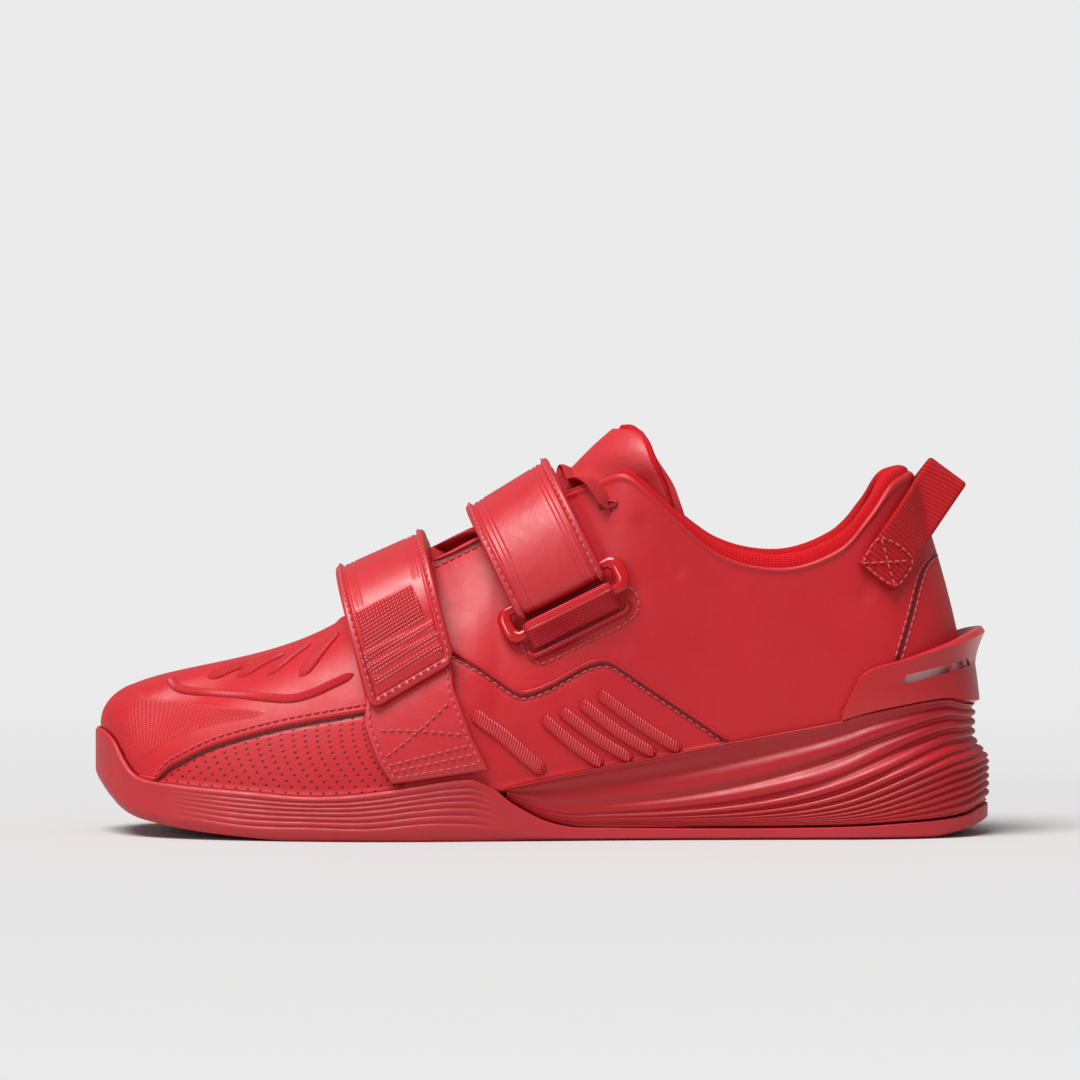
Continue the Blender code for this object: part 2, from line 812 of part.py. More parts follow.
def form_tree():
    levels = [k / 12 for k in range(13)]
    count = 96
    points = []
    faces = []
    for v in levels:
        points += [form_point(i / count, v) for i in range(count)]
    for k in range(len(levels) - 1):
        for i in range(count):
            j = (i + 1) % count
            faces.append((k * count + i, k * count + j, (k + 1) * count + j, (k + 1) * count + i))
    return BVHTree.FromPolygons(points, faces)


FORM_TREE = form_tree()


def side_of_form(x, z, side):
    """How far out the upper reaches at a side-view place."""
    start = Vector((x, side * BALL_WIDTH, z))
    hit = FORM_TREE.ray_cast(start, Vector((0.0, -side, 0.0)))[0]
    return abs(hit.y) * (1 if hit.y * side > 0 else -1) if hit else 0.0


def over(place, tilt, column):
    """Side-view point of a strap's column, from the middle of the strap."""
    x, z = side_view(*place)
    half = column * STRAP_WIDTH / 2
    return x + half * math.cos(math.radians(tilt)), z + half * math.sin(math.radians(tilt))


def arch_row(strap, angle, lift_ring, lift_free):
    """Points across the strap at an angle of its arch: 0 at the free foot, 180 at the ring."""
    side = -strap["ring_side"] if angle <= 90 else strap["ring_side"]
    foot = strap["free_foot"] if angle <= 90 else strap["ring_foot"]
    lift = lift_free if angle <= 90 else lift_ring
    turned = math.radians(angle)
    up = math.sin(turned) ** ARCH_POWER
    out = abs(math.cos(turned)) ** ARCH_POWER
    tilt = strap["tilt_side"] + (strap["tilt_top"] - strap["tilt_side"]) * up
    place = tuple(f + (t - f) * up for f, t in zip(foot, strap["top"]))
    reaches = []
    for column in STRAP_COLUMNS:
        foot_x, foot_z = over(foot, strap["tilt_side"], column)
        reaches.append(side_of_form(foot_x, foot_z, side) + lift)
    chord = (reaches[0] + reaches[-1]) / 2
    bulge = max(0.0, reaches[1] - chord)
    reaches = [reaches[0] + bulge, chord + bulge, reaches[-1] + bulge]
    row = []
    for column, reach in zip(STRAP_COLUMNS, reaches):
        x, z = over(place, tilt, column)
        row.append(Vector((x, side * reach * out, z)))
    return row


def strap_grid(strap):
    layer = (STRAP_THICKNESS + STRAP_LAYER_GAP) / 2
    around_bar = RING_BAR / 2 + GAP + STRAP_THICKNESS / 2
    lift_free = GAP * 2 + STRAP_THICKNESS + STRAP_LAYER_GAP / 2
    lift_ring = GAP * 4 + RING_BAR / 2 + GAP + STRAP_THICKNESS
    middle = [arch_row(strap, 180 * k / (2 * ARCH_STEPS), lift_ring, lift_free)
              for k in range(2 * ARCH_STEPS + 1)]
    normals = grid_normals(middle)
    if normals[ARCH_STEPS][1].z < 0:
        normals = [[-way for way in line] for line in normals]
    inner = []
    outer = []
    for k, (points, ways) in enumerate(zip(middle, normals)):
        near_ring = max(0.0, (k - 2 * ARCH_STEPS + 3) / 3)
        away = layer + (around_bar - layer) * near_ring
        inner.append([p - w * away for p, w in zip(points, ways)])
        outer.append([p + w * away for p, w in zip(points, ways)])
    down = [(a - b).normalized() for a, b in zip(middle[-1], middle[-2])]
    bend = []
    for step in range(1, 6):
        angle = math.pi * step / 6
        bend.append([p + (d * math.sin(angle) - w * math.cos(angle)) * around_bar
                     for p, d, w in zip(middle[-1], down, normals[-1])])
    side = -strap["ring_side"]
    base = []
    for share, place in zip((1.0, 0.66, 0.33), reversed(strap["base"])):
        tilt = strap["tilt_side"] + (strap["tilt_base"] - strap["tilt_side"]) * share
        row = []
        for column in STRAP_COLUMNS:
            x, z = over(place, tilt, column)
            out = side_of_form(x, z, side) + GAP * 2 + STRAP_THICKNESS / 2
            row.append(Vector((x, side * out, z)))
        base.append(row)
    end = [p - (q - p).normalized() * strap["free_end"] for p, q in zip(outer[0], outer[1])]
    return base + inner + bend + list(reversed(outer)) + [end], middle[-1], down, normals[-1]


def bar_loop(centre, along, across, half_long, half_wide, corner, steps=4):
    """Points of a rectangle with round corners, about a centre, in the plane of two ways."""
    points = []
    for quarter, (sx, sy) in enumerate(((1, 1), (-1, 1), (-1, -1), (1, -1))):
        for step in range(steps + 1):
            angle = math.pi / 2 * (quarter + step / steps)
            x = sx * (half_long - corner) + corner * math.cos(angle)
            y = sy * (half_wide - corner) + corner * math.sin(angle)
            points.append(centre + along * x + across * y)
    return points


def push_out(point, side, clearance):
    """Point moved out of the shoe until it clears the upper's surface."""
    least = side_of_form(point.x, point.z, side) + clearance
    if point.y * side < least:
        point.y = side * least
    return point


def make_strap(name):
    strap = STRAPS[name]
    grid, bar, down, ways = strap_grid(strap)
    slab(name + "_strap", grid, STRAP_THICKNESS, colour=(0.45, 0.03, 0.04), roughness=0.45)
    side = strap["ring_side"]
    along = (bar[-1] - bar[0]).normalized()
    drop = down[1]
    centre = bar[1] + drop * (RING_OPENING + RING_BAR) / 2
    half = (bar[-1] - bar[0]).length / 2 + RING_OVERHANG
    spacing = RING_OPENING + RING_BAR
    loop = bar_loop(centre, along, drop, half, spacing / 2, RING_CORNER)
    lower = [p + drop * spacing for p in bar]
    clearance = RING_BAR / 2 + WEBBING_THICKNESS + 5 * GAP
    push = max([0.0] + [side_of_form(p.x, p.z, side) + clearance - p.y * side for p in lower])
    for point in loop:
        point.y += side * push * max(0.0, min(1.0, (point - bar[1]).dot(drop) / spacing))
    lower = [p + Vector((0.0, side * push, 0.0)) for p in lower]
    rod(name + "_ring", loop, RING_BAR, colour=(0.55, 0.01, 0.02), roughness=0.25)
    drop = (lower[1] - bar[1]).normalized()
    way = along.cross(drop).normalized()
    if way.dot(ways[1]) < 0:
        way = -way
    make_webbing(name, strap, lower, way, drop, along)


def make_webbing(name, strap, bar, way, drop, along):
    """Loop of webbing from the upper round the ring's lower bar, and the rim it comes out of."""
    side = strap["ring_side"]
    around_bar = RING_BAR / 2 + 3 * GAP + WEBBING_THICKNESS / 2
    run = Vector((strap["webbing"][0] * LENGTH, 0.0, strap["webbing"][1] * COLLAR_HEIGHT))
    inner = []
    outer = []
    for share in (1.0, 0.6, 0.25, 0.0):
        under = []
        over_it = []
        for p in bar:
            end = p + run
            base = side_of_form(end.x, end.z, side)
            low = base + 2 * GAP + WEBBING_THICKNESS / 2
            slot_low = Vector((end.x, side * low, end.z))
            slot_high = Vector((end.x, side * (low + WEBBING_THICKNESS + GAP), end.z))
            under.append((p - way * around_bar).lerp(slot_low, share))
            over_it.append((p + way * around_bar).lerp(slot_high, share))
        inner.append([push_out(p, side, GAP + WEBBING_THICKNESS / 2) for p in under])
        outer.append(over_it)
    bend = []
    for step in range(1, 6):
        angle = math.pi * step / 6
        turned = (-drop * math.sin(angle) - way * math.cos(angle)) * around_bar
        bend.append([p + turned for p in bar])
    grid = inner + bend + list(reversed(outer))
    slab(name + "_webbing", grid, WEBBING_THICKNESS, colour=(0.55, 0.01, 0.02), roughness=0.4)
    half = (bar[-1] - bar[0]).length / 2 + RIM_OVERHANG
    below = WEBBING_THICKNESS + RIM_BAR / 2 + 2 * GAP
    rim = bar_loop(bar[1] + run, along, drop, half, below, below * 0.98)
    rim = rim[:10]
    for point in rim:
        point.y = side * (side_of_form(point.x, point.z, side) + RIM_BAR / 2 + 3 * GAP)
    rod(name + "_slot_rim", rim, RIM_BAR, cyclic=False, colour=(0.45, 0.02, 0.03), roughness=0.35)


# Heel clip. Shares of LENGTH around the heel and of COLLAR_HEIGHT; depths in metres.
CLIP = [
    # share, top, thickening, lip
    (0.832, 0.345, 0.0000, 0.0000),
    (0.842, 0.395, 0.0000, 0.0000),
    (0.852, 0.440, 0.0000, 0.0000),
    (0.866, 0.464, 0.0001, 0.0000),
    (0.900, 0.487, 0.0004, 0.0006),
    (0.940, 0.515, 0.0008, 0.0020),
    (0.970, 0.535, 0.0011, 0.0038),
    (0.990, 0.550, 0.0013, 0.0054),
    (1.000, 0.556, 0.0014, 0.0060),
]
CLIP_LEVELS = (0.0, 0.25, 0.44, 0.58, 0.74, 0.88, 1.0)


def level_of(t, height):
    low, high = 0.0, 1.0
    for _ in range(24):
        middle = (low + high) / 2
        if rib_point(t, middle).z < height:
            low = middle
        else:
            high = middle
    return (low + high) / 2


def make_heel_clip():
    start = turn(CLIP[0][0]) / 2
    count = 20
    inner = []
    outer = []
    for i in range(count + 1):
        t = start + (1 - 2 * start) * i / count
        share = share_at(t)
        low = top_edge(share) + GAP
        top = blend(CLIP, share) * COLLAR_HEIGHT
        under = []
        over_it = []
        for level in CLIP_LEVELS:
            v = level_of(t, low + level * (top - low))
            flare = blend(CLIP, share, 3) * max(0.0, (level - 0.5) / 0.5) ** 1.6
            thick = CLIP_THICKNESS + blend(CLIP, share, 2)
            under.append(form_point(t, v, 2 * GAP + flare))
            over_it.append(form_point(t, v, 2 * GAP + flare + thick))
        inner.append(under)
        outer.append(over_it)
    clip = shell("heel_clip", inner, outer, colour=(0.50, 0.05, 0.06), roughness=0.3)
    windows = (
        ((0.899, 0.420), (0.952, 0.452), (0.952, 0.474), (0.903, 0.448)),
        ((0.956, 0.455), (0.978, 0.468), (0.974, 0.488), (0.956, 0.476)),
    )
    for n, corners in enumerate(windows):
        outline_points = [side_view(share, height) for share, height in corners]
        cut = prism("clip_window_%d" % n, outline_points, -BALL_WIDTH / 2, BALL_WIDTH / 2)
        boolean(clip, cut, "DIFFERENCE")


# Pull loop
def make_pull_loop():
    foot = side_view(0.8700, 0.715)
    tip = side_view(0.9540, 0.998)
    lean = math.atan2(tip[1] - foot[1], tip[0] - foot[0])
    across = Vector((math.sin(lean), 0.0, -math.cos(lean)))
    legs = []
    for side in (-1, 1):
        leg = []
        for step in range(7):
            share = step / 6
            middle = Vector((foot[0], 0.0, foot[1])).lerp(Vector((tip[0], 0.0, tip[1])), share)
            row = []
            for column in (-1, -0.33, 0.33, 1):
                p = middle + across * (column * LOOP_WIDTH / 2)
                far = side_of_form(foot[0], foot[1], side) + 2 * GAP + LOOP_THICKNESS / 2
                p.y = side * (far + (LOOP_FOLD - far) * share ** 0.9)
                off = 2 * GAP + LOOP_THICKNESS / 2 + LOOP_FOLD * min(1, 3 * share)
                row.append(push_out(p, side, off))
            leg.append(row)
        legs.append(leg)
    onward = Vector((math.cos(lean), 0.0, math.sin(lean))) * LOOP_FOLD * 0.9
    crown = [[Vector((p.x, 0.0, p.z)) + onward for p in legs[0][-1]]]
    grid = legs[0] + crown + list(reversed(legs[1]))
    slab("pull_loop", grid, LOOP_THICKNESS, colour=(0.50, 0.01, 0.02), roughness=0.5)


# Laces
EYELETS = (0.345, 0.386, 0.428, 0.471, 0.514, 0.556)
EYELET_LEVEL = 0.92


def tongue_top(x, y):
    """Height of the tongue's upper face under a place seen from above."""
    share = x / LENGTH + 0.5
    middle = blend(PLAN_LOOP, turn(share), 1)
    across = min(1.0, abs(y / BALL_WIDTH - middle) / blend(TONGUE, share, 2))
    centre = share - blend(TONGUE, share, 3) * across ** 2.2
    height = (blend(TONGUE, centre, 1) - blend(TONGUE, centre, 4) * across ** 2) * COLLAR_HEIGHT
    rise = (blend(TONGUE, centre + 0.01, 1) - blend(TONGUE, centre - 0.01, 1)) * COLLAR_HEIGHT
    run = 0.02 * LENGTH
    return height + TONGUE_THICKNESS / 2 * (math.hypot(rise, run) / run - 1)


def foot_of_edge(share):
    """Station whose edge of the throat lies at a length share."""
    low, high = 0.0, 0.5
    for _ in range(24):
        middle = (low + high) / 2
        if rib_point(middle, 1.0).x / LENGTH + 0.5 < share:
            low = middle
        else:
            high = middle
    return low


def lace_ribbon(start_share, start_side, end_share):
    rows = []
    first = foot_of_edge(start_share)
    last = foot_of_edge(end_share)
    ends = [first if start_side < 0 else 1 - first, last if start_side > 0 else 1 - last]
    lift = GAP * 2 + LACE_THICKNESS / 2
    path = [form_point(ends[0], EYELET_LEVEL, lift + LACE_RISE * 0.7)]
    over_edge = Vector((0.0, 0.0, lift + 0.35 * WALL + LACE_RISE * 0.5))
    edges = [rib_point(t, 1.0) + over_edge for t in ends]
    arch = Vector((0.0, 0.0, LACE_RISE * 0.3))
    crest = (edges[0] + edges[1]) / 2 + arch * 1.6
    path += [edges[0], edges[0].lerp(crest, 0.5) + arch, crest,
             edges[1].lerp(crest, 0.5) + arch, edges[1],
             form_point(ends[1], EYELET_LEVEL, lift + LACE_RISE * 0.7)]
    for point in path[1:-1]:
        point.z = max(point.z, tongue_top(point.x, point.y) + lift + LACE_RISE)
    for point in path:
        behind = tongue_top(point.x + LACE_WIDTH / 2, point.y)
        before = tongue_top(point.x - LACE_WIDTH / 2, point.y)
        slope = Vector((LACE_WIDTH, 0.0, min(max(behind - before, 0.45 * LACE_WIDTH), 1.3 * LACE_WIDTH)))
        slope.normalize()
        rows.append([point - slope * (LACE_WIDTH / 2), point + slope * (LACE_WIDTH / 2)])
    return rows


def ribbon_set(name, start_side, group):
    """All the ribbons that start on one side, as one mesh."""
    bm = bmesh.new()
    for a, b in zip(EYELETS, EYELETS[1:]):
        grid = lace_ribbon(a, start_side, b)
        normals = grid_normals(grid)
        low = offset_grid(grid, normals, -LACE_THICKNESS / 2)
        top = offset_grid(grid, normals, LACE_THICKNESS / 2)
        loops = [[bm.verts.new(p) for p in (lo[0], lo[1], hi[1], hi[0])] for lo, hi in zip(low, top)]
        for one, two in zip(loops, loops[1:]):
            for i in range(4):
                j = (i + 1) % 4
                bm.faces.new((one[i], one[j], two[j], two[i]))
        bm.faces.new(list(reversed(loops[0])))
        bm.faces.new(loops[-1])
    return finish_mesh(name, bm, group=group, colour=(0.50, 0.02, 0.03), roughness=0.6)


def make_laces():
    laces = ribbon_set("laces", -1, None)
    other = ribbon_set("laces_other_way", 1, cutters)
    boolean(laces, other, "UNION")


def main():
    clear_scene()
    make_outsole()
    make_midsole()
    make_upper()
    make_insole()
    make_tongue()
    make_strap("front")
    make_strap("rear")
    make_heel_clip()
    make_pull_loop()
    make_laces()


main()
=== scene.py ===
import math

import bmesh
import bpy
import numpy as np
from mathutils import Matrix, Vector
from mathutils.bvhtree import BVHTree
from mathutils.kdtree import KDTree


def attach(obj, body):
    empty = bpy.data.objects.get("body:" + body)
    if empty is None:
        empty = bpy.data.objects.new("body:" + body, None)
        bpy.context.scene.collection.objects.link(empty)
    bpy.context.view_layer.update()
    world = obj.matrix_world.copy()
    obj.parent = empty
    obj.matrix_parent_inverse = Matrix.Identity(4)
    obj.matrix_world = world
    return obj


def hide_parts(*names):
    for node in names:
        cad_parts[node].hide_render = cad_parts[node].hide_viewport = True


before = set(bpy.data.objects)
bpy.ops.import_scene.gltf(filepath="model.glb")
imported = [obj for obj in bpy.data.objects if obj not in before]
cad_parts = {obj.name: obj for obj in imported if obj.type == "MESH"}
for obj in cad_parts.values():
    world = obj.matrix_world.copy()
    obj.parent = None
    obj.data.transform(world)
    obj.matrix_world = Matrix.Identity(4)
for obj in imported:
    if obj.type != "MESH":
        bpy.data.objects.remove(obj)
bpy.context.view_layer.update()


# Studio. A long lens a little above the floor looks square at the outer side, as a
# catalogue photograph does, with soft light from above and a pale seamless floor.
CAMERA_DISTANCE = 2.40
CAMERA_RISE = math.radians(1.6)
SENSOR = 36.0
FRAME_WIDTH = 0.3564
AIM = Vector((-0.0003, 0.0, 0.0962))
SUNS = (
    # name, way it shines, strength, spread in degrees
    ("overhead", (0.30, 0.36, -1.0), 3.4, 34.0),
    ("front", (0.75, 1.0, -0.35), 0.42, 16.0),
)
ROOM_LIGHT = 0.30
ROOM_SEEN = 0.83
FLOOR_COLOUR = (0.60, 0.60, 0.60, 1.0)
FLOOR_SIZE = 3.0
FLOOR_FADE = (0.30, 0.90)


def placed(name, data):
    """New object in the scene."""
    made = bpy.data.objects.new(name, data)
    bpy.context.scene.collection.objects.link(made)
    return made


def make_camera():
    camera = placed("camera", bpy.data.cameras.new("camera"))
    way = Vector((0.0, -math.cos(CAMERA_RISE), math.sin(CAMERA_RISE)))
    camera.location = AIM + way * CAMERA_DISTANCE
    camera.rotation_euler = (math.pi / 2 - CAMERA_RISE, 0.0, 0.0)
    camera.data.sensor_width = SENSOR
    camera.data.lens = SENSOR * CAMERA_DISTANCE / FRAME_WIDTH
    camera.data.clip_end = 120.0
    bpy.context.scene.camera = camera


def make_light():
    """Wide, far lights, in a room that looks a paler grey than the light it gives."""
    for name, way, strength, spread in SUNS:
        lamp = bpy.data.lights.new(name, "SUN")
        lamp.energy = strength
        lamp.angle = math.radians(spread)
        placed(name, lamp).rotation_euler = Vector(way).to_track_quat("-Z", "Y").to_euler()
    world = bpy.data.worlds.new("studio")
    world.use_nodes = True
    tree = world.node_tree
    lit = tree.nodes["Background"]
    lit.inputs["Color"].default_value = (1.0, 0.97, 0.97, 1.0)
    lit.inputs["Strength"].default_value = ROOM_LIGHT
    seen = tree.nodes.new("ShaderNodeBackground")
    seen.inputs["Color"].default_value = (1.0, 1.0, 1.0, 1.0)
    seen.inputs["Strength"].default_value = ROOM_SEEN
    either = tree.nodes.new("ShaderNodeMixShader")
    tree.links.new(tree.nodes.new("ShaderNodeLightPath").outputs["Is Camera Ray"], either.inputs[0])
    tree.links.new(lit.outputs[0], either.inputs[1])
    tree.links.new(seen.outputs[0], either.inputs[2])
    tree.links.new(either.outputs[0], tree.nodes["World Output"].inputs["Surface"])
    bpy.context.scene.world = world
    bpy.context.scene.view_settings.view_transform = "Standard"


def make_floor():
    """Pale paper that fades into the room far from the shoe."""
    mesh = bpy.data.meshes.new("floor")
    corners = [(x * FLOOR_SIZE, y * FLOOR_SIZE, 0.0) for x, y in ((-1, -1), (1, -1), (1, 1), (-1, 1))]
    mesh.from_pydata(corners, [], [(0, 1, 2, 3)])
    floor = placed("floor", mesh)
    floor.location.z = -0.0002
    paper = bpy.data.materials.new("paper_floor")
    paper.use_nodes = True
    tree = paper.node_tree
    shader = tree.nodes["Principled BSDF"]
    shader.inputs["Base Color"].default_value = FLOOR_COLOUR
    shader.inputs["Roughness"].default_value = 1.0
    shader.inputs["Specular IOR Level"].default_value = 0.0
    far = tree.nodes.new("ShaderNodeVectorMath")
    far.operation = "LENGTH"
    tree.links.new(tree.nodes.new("ShaderNodeTexCoord").outputs["Object"], far.inputs[0])
    fade = tree.nodes.new("ShaderNodeMapRange")
    ends = zip(("From Min", "From Max", "To Min", "To Max"), FLOOR_FADE + (1.0, 0.0))
    for socket, value in ends:
        fade.inputs[socket].default_value = value
    tree.links.new(far.outputs["Value"], fade.inputs["Value"])
    tree.links.new(fade.outputs["Result"], shader.inputs["Alpha"])
    mesh.materials.append(paper)


make_camera()
make_light()
make_floor()


# Outsole. One moulding of hard rubber: a thin plate under heel and arch that climbs the
# side of the forefoot and wraps over the toe as a bumper. It is cemented to the last's
# bottom edge, with shallow wavy grooves along its forefoot side.
LENGTH = 0.295
BALL_WIDTH = 0.103
SOLE_HEIGHT = 0.0446
LIP = 0.0016
CUP_SLOPE = 0.0022
GAP = 0.0003
RIB_DEPTH = 0.0011
SOLE_BEVEL = 0.0034
FLAT_FROM = 1.6
GROOVE_DEPTH = 0.00055
GROOVE_WIDTH = 0.026
NEAR_TURN = 0.004
GROOVE_LEVELS = (0.30, 0.43, 0.55, 0.66, 0.76, 0.86)

# Sole outline seen from above. Shares of LENGTH from the toe, and of BALL_WIDTH.
PLAN = [
    # share, centre, half_width
    (0.000, 0.083, 0.000),
    (0.020, 0.070, 0.214),
    (0.050, 0.058, 0.320),
    (0.100, 0.044, 0.408),
    (0.180, 0.024, 0.471),
    (0.270, 0.005, 0.500),
    (0.360, -0.012, 0.490),
    (0.460, -0.027, 0.442),
    (0.560, -0.032, 0.398),
    (0.660, -0.024, 0.379),
    (0.760, -0.013, 0.377),
    (0.860, -0.005, 0.374),
    (0.930, 0.000, 0.330),
    (0.975, 0.000, 0.233),
    (1.000, 0.000, 0.000),
]
# Heights of the sole. Shares of LENGTH from the toe, and of SOLE_HEIGHT.
TOP_EDGE = [
    # share, height of the edge that the upper stands in
    (0.000, 0.767),
    (0.009, 0.758),
    (0.023, 0.682),
    (0.035, 0.550),
    (0.045, 0.470),
    (0.057, 0.430),
    (0.091, 0.399),
    (0.178, 0.354),
    (0.241, 0.325),
    (0.286, 0.334),
    (0.324, 0.363),
    (0.364, 0.404),
    (0.409, 0.448),
    (0.425, 0.451),
    (0.438, 0.420),
    (0.451, 0.375),
    (0.475, 0.400),
    (0.509, 0.451),
    (0.572, 0.534),
    (0.640, 0.614),
    (0.708, 0.704),
    (0.761, 0.769),
    (0.827, 0.852),
    (0.866, 0.917),
    (0.902, 0.962),
    (0.937, 0.995),
    (0.962, 1.000),
    (0.984, 0.965),
    (1.000, 0.950),
]
RIM_EDGE = [
    # share, height of the outsole's own edge behind the forefoot
    (0.409, 0.448),
    (0.425, 0.451),
    (0.437, 0.422),
    (0.451, 0.370),
    (0.466, 0.289),
    (0.485, 0.212),
    (0.507, 0.141),
    (0.534, 0.098),
    (0.570, 0.090),
    (0.840, 0.090),
    (0.900, 0.112),
    (0.949, 0.135),
    (0.973, 0.160),
    (0.990, 0.205),
    (1.000, 0.220),
]
GROUND = [
    # share, height of the underside over the floor
    (0.000, 0.370),
    (0.020, 0.247),
    (0.040, 0.160),
    (0.074, 0.103),
    (0.107, 0.067),
    (0.158, 0.030),
    (0.222, 0.000),
    (0.300, 0.000),
    (0.900, 0.000),
    (0.935, 0.000),
    (0.962, 0.030),
    (0.980, 0.055),
    (1.000, 0.095),
]
BED = [
    # share, height of the bed under the insole
    (0.000, 0.430),
    (0.050, 0.370),
    (0.100, 0.310),
    (0.180, 0.258),
    (0.270, 0.238),
    (0.360, 0.251),
    (0.460, 0.314),
    (0.560, 0.415),
    (0.660, 0.525),
    (0.760, 0.623),
    (0.860, 0.679),
    (0.940, 0.695),
    (1.000, 0.700),
]


def curve(rows, x, column=1):
    """Values at x on a smooth curve through the rows of a table."""
    table = np.array(rows, dtype=float)
    xs = table[:, 0]
    ys = table[:, column]
    steps = np.diff(xs)
    slopes = np.diff(ys) / steps
    ways = np.concatenate(([slopes[0]], (slopes[1:] + slopes[:-1]) / 2, [slopes[-1]]))
    x = np.clip(x, xs[0], xs[-1])
    k = np.clip(np.searchsorted(xs, x, side="right") - 1, 0, len(steps) - 1)
    u = (x - xs[k]) / steps[k]
    keep = (1 + 2 * u) * (1 - u) ** 2 * ys[k]
    rest = u * u * (3 - 2 * u) * ys[k + 1]
    lead = u * (1 - u) ** 2 * steps[k] * ways[k]
    tail = u * u * (u - 1) * steps[k] * ways[k + 1]
    return keep + rest + lead + tail


def smooth_step(x, start, end):
    u = np.clip((x - start) / (end - start), 0.0, 1.0)
    return u * u * (3 - 2 * u)


def turn(share):
    """Half turn around the shoe, 0 at the toe and 1 at the heel, of a length share."""
    return np.arccos(np.clip(1 - 2 * np.asarray(share, dtype=float), -1.0, 1.0)) / math.pi


def share_at(t):
    """Length share at t, which runs 0 to 1 from the toe round the outer side and back."""
    return (1 - np.cos(2 * math.pi * t)) / 2


def mirrored(rows, odd):
    """Rows keyed by turn and carried past both ends, so that the curve closes smoothly."""
    keyed = [(float(turn(row[0])),) + tuple(row[1:]) for row in rows]
    sign = [-1 if c in odd else 1 for c in range(len(rows[0]))]
    head = [(-r[0],) + tuple(r[c] * sign[c] for c in range(1, len(r))) for r in keyed if r[0] > 0]
    tail = [(2 - r[0],) + tuple(r[c] * sign[c] for c in range(1, len(r))) for r in keyed if r[0] < 1]
    return head[::-1] + keyed + tail[::-1]


PLAN_LOOP = mirrored(PLAN, odd=(2,))


def fold(t):
    """Turn at t and the side: -1 outer, +1 inner."""
    t = np.mod(t, 1.0)
    return np.where(t <= 0.5, 2 * t, 2 - 2 * t), np.where(t <= 0.5, -1.0, 1.0)


def outline(t):
    a, side = fold(t)
    y = curve(PLAN_LOOP, a, 1) + side * curve(PLAN_LOOP, a, 2)
    return np.stack([(share_at(t) - 0.5) * LENGTH, y * BALL_WIDTH, 0.0 * y], axis=-1)


def unit(ways):
    return ways / np.linalg.norm(ways, axis=-1, keepdims=True)


def outward(t):
    """Level direction out of the sole's outline at t."""
    along = outline(t + NEAR_TURN) - outline(t - NEAR_TURN)
    return unit(np.stack([along[..., 1], -along[..., 0], 0.0 * along[..., 0]], axis=-1))


def sole_point(t, inset, height):
    point = outline(t) - outward(t) * np.asarray(inset)[..., None]
    point[..., 2] = height
    return point


def laid_point(t, inset, surface, lift=0.0):
    """Point inside the outline on a surface whose height follows the length share."""
    point = sole_point(t, inset, 0.0)
    point[..., 2] = surface(point[..., 0] / LENGTH + 0.5) + lift
    return point


def top_edge(share):
    return curve(TOP_EDGE, share) * SOLE_HEIGHT


def rim_edge(share):
    return np.where(share <= RIM_EDGE[0][0], top_edge(share), curve(RIM_EDGE, share) * SOLE_HEIGHT)


def ground(share):
    return np.maximum(0.0, curve(GROUND, share)) * SOLE_HEIGHT


def bed(share):
    return curve(BED, share) * SOLE_HEIGHT


def even_turns(count, start=0.0, end=1.0):
    """Turns that lie evenly along the sole's outline between two turns."""
    t = np.linspace(start, end, 4000)
    steps = np.linalg.norm(np.diff(outline(t), axis=0), axis=1)
    along = np.concatenate(([0.0], np.cumsum(steps)))
    return np.interp(np.linspace(0.0, along[-1], count), along, t)


def grid_faces(rows, columns, closed):
    """Corners of the faces over a grid of points; closed joins last column to first."""
    across = columns if closed else columns - 1
    k, j = np.meshgrid(np.arange(rows - 1) * columns, np.arange(across), indexing="ij")
    n = (j + 1) % columns
    faces = np.stack([k + j, k + n, k + columns + n, k + columns + j], axis=-1)
    return [tuple(face) for face in faces.reshape(-1, 4).tolist()]


def grid_object(name, points, closed=False, capped=False, uv=None, masks=None):
    """Smooth mesh over a grid of points [row, column].

    uv holds two lengths in metres for each point, which the materials read as the places
    on the flat material; masks are named values for each point.
    """
    rows, columns = points.shape[:2]
    faces = grid_faces(rows, columns, closed)
    if capped:
        faces.append(tuple(reversed(range(columns))))
        faces.append(tuple(range((rows - 1) * columns, rows * columns)))
    mesh = bpy.data.meshes.new(name)
    mesh.from_pydata(points.reshape(-1, 3).tolist(), [], faces)
    if uv is not None:
        flat = mesh.attributes.new("flat", "FLOAT_VECTOR", "POINT")
        places = np.concatenate([uv.reshape(-1, 2), np.zeros((rows * columns, 1))], axis=1)
        flat.data.foreach_set("vector", places.astype(np.float32).ravel())
    for mask, values in (masks or {}).items():
        layer = mesh.attributes.new(mask, "FLOAT", "POINT")
        layer.data.foreach_set("value", np.asarray(values, dtype=np.float32).ravel())
    mesh.shade_smooth()
    return placed(name, mesh)


def face_out(made, merge=0.0):
    """Turns a closed piece's faces outward, after joining points closer than merge."""
    bm = bmesh.new()
    bm.from_mesh(made.data)
    if merge:
        bmesh.ops.remove_doubles(bm, verts=bm.verts, dist=merge)
    bmesh.ops.recalc_face_normals(bm, faces=bm.faces)
    bm.to_mesh(made.data)
    bm.free()


def lengths(points):
    """Places of a grid's points along its columns and rows, in metres."""
    over = np.linalg.norm(np.diff(points, axis=1), axis=2)
    up = np.linalg.norm(np.diff(points, axis=0), axis=2)
    u = np.concatenate([np.zeros((points.shape[0], 1)), np.cumsum(over, axis=1)], axis=1)
    v = np.concatenate([np.zeros((1, points.shape[1])), np.cumsum(up, axis=0)], axis=0)
    return np.stack([u.mean(axis=0)[None, :] + 0 * v, v], axis=-1)


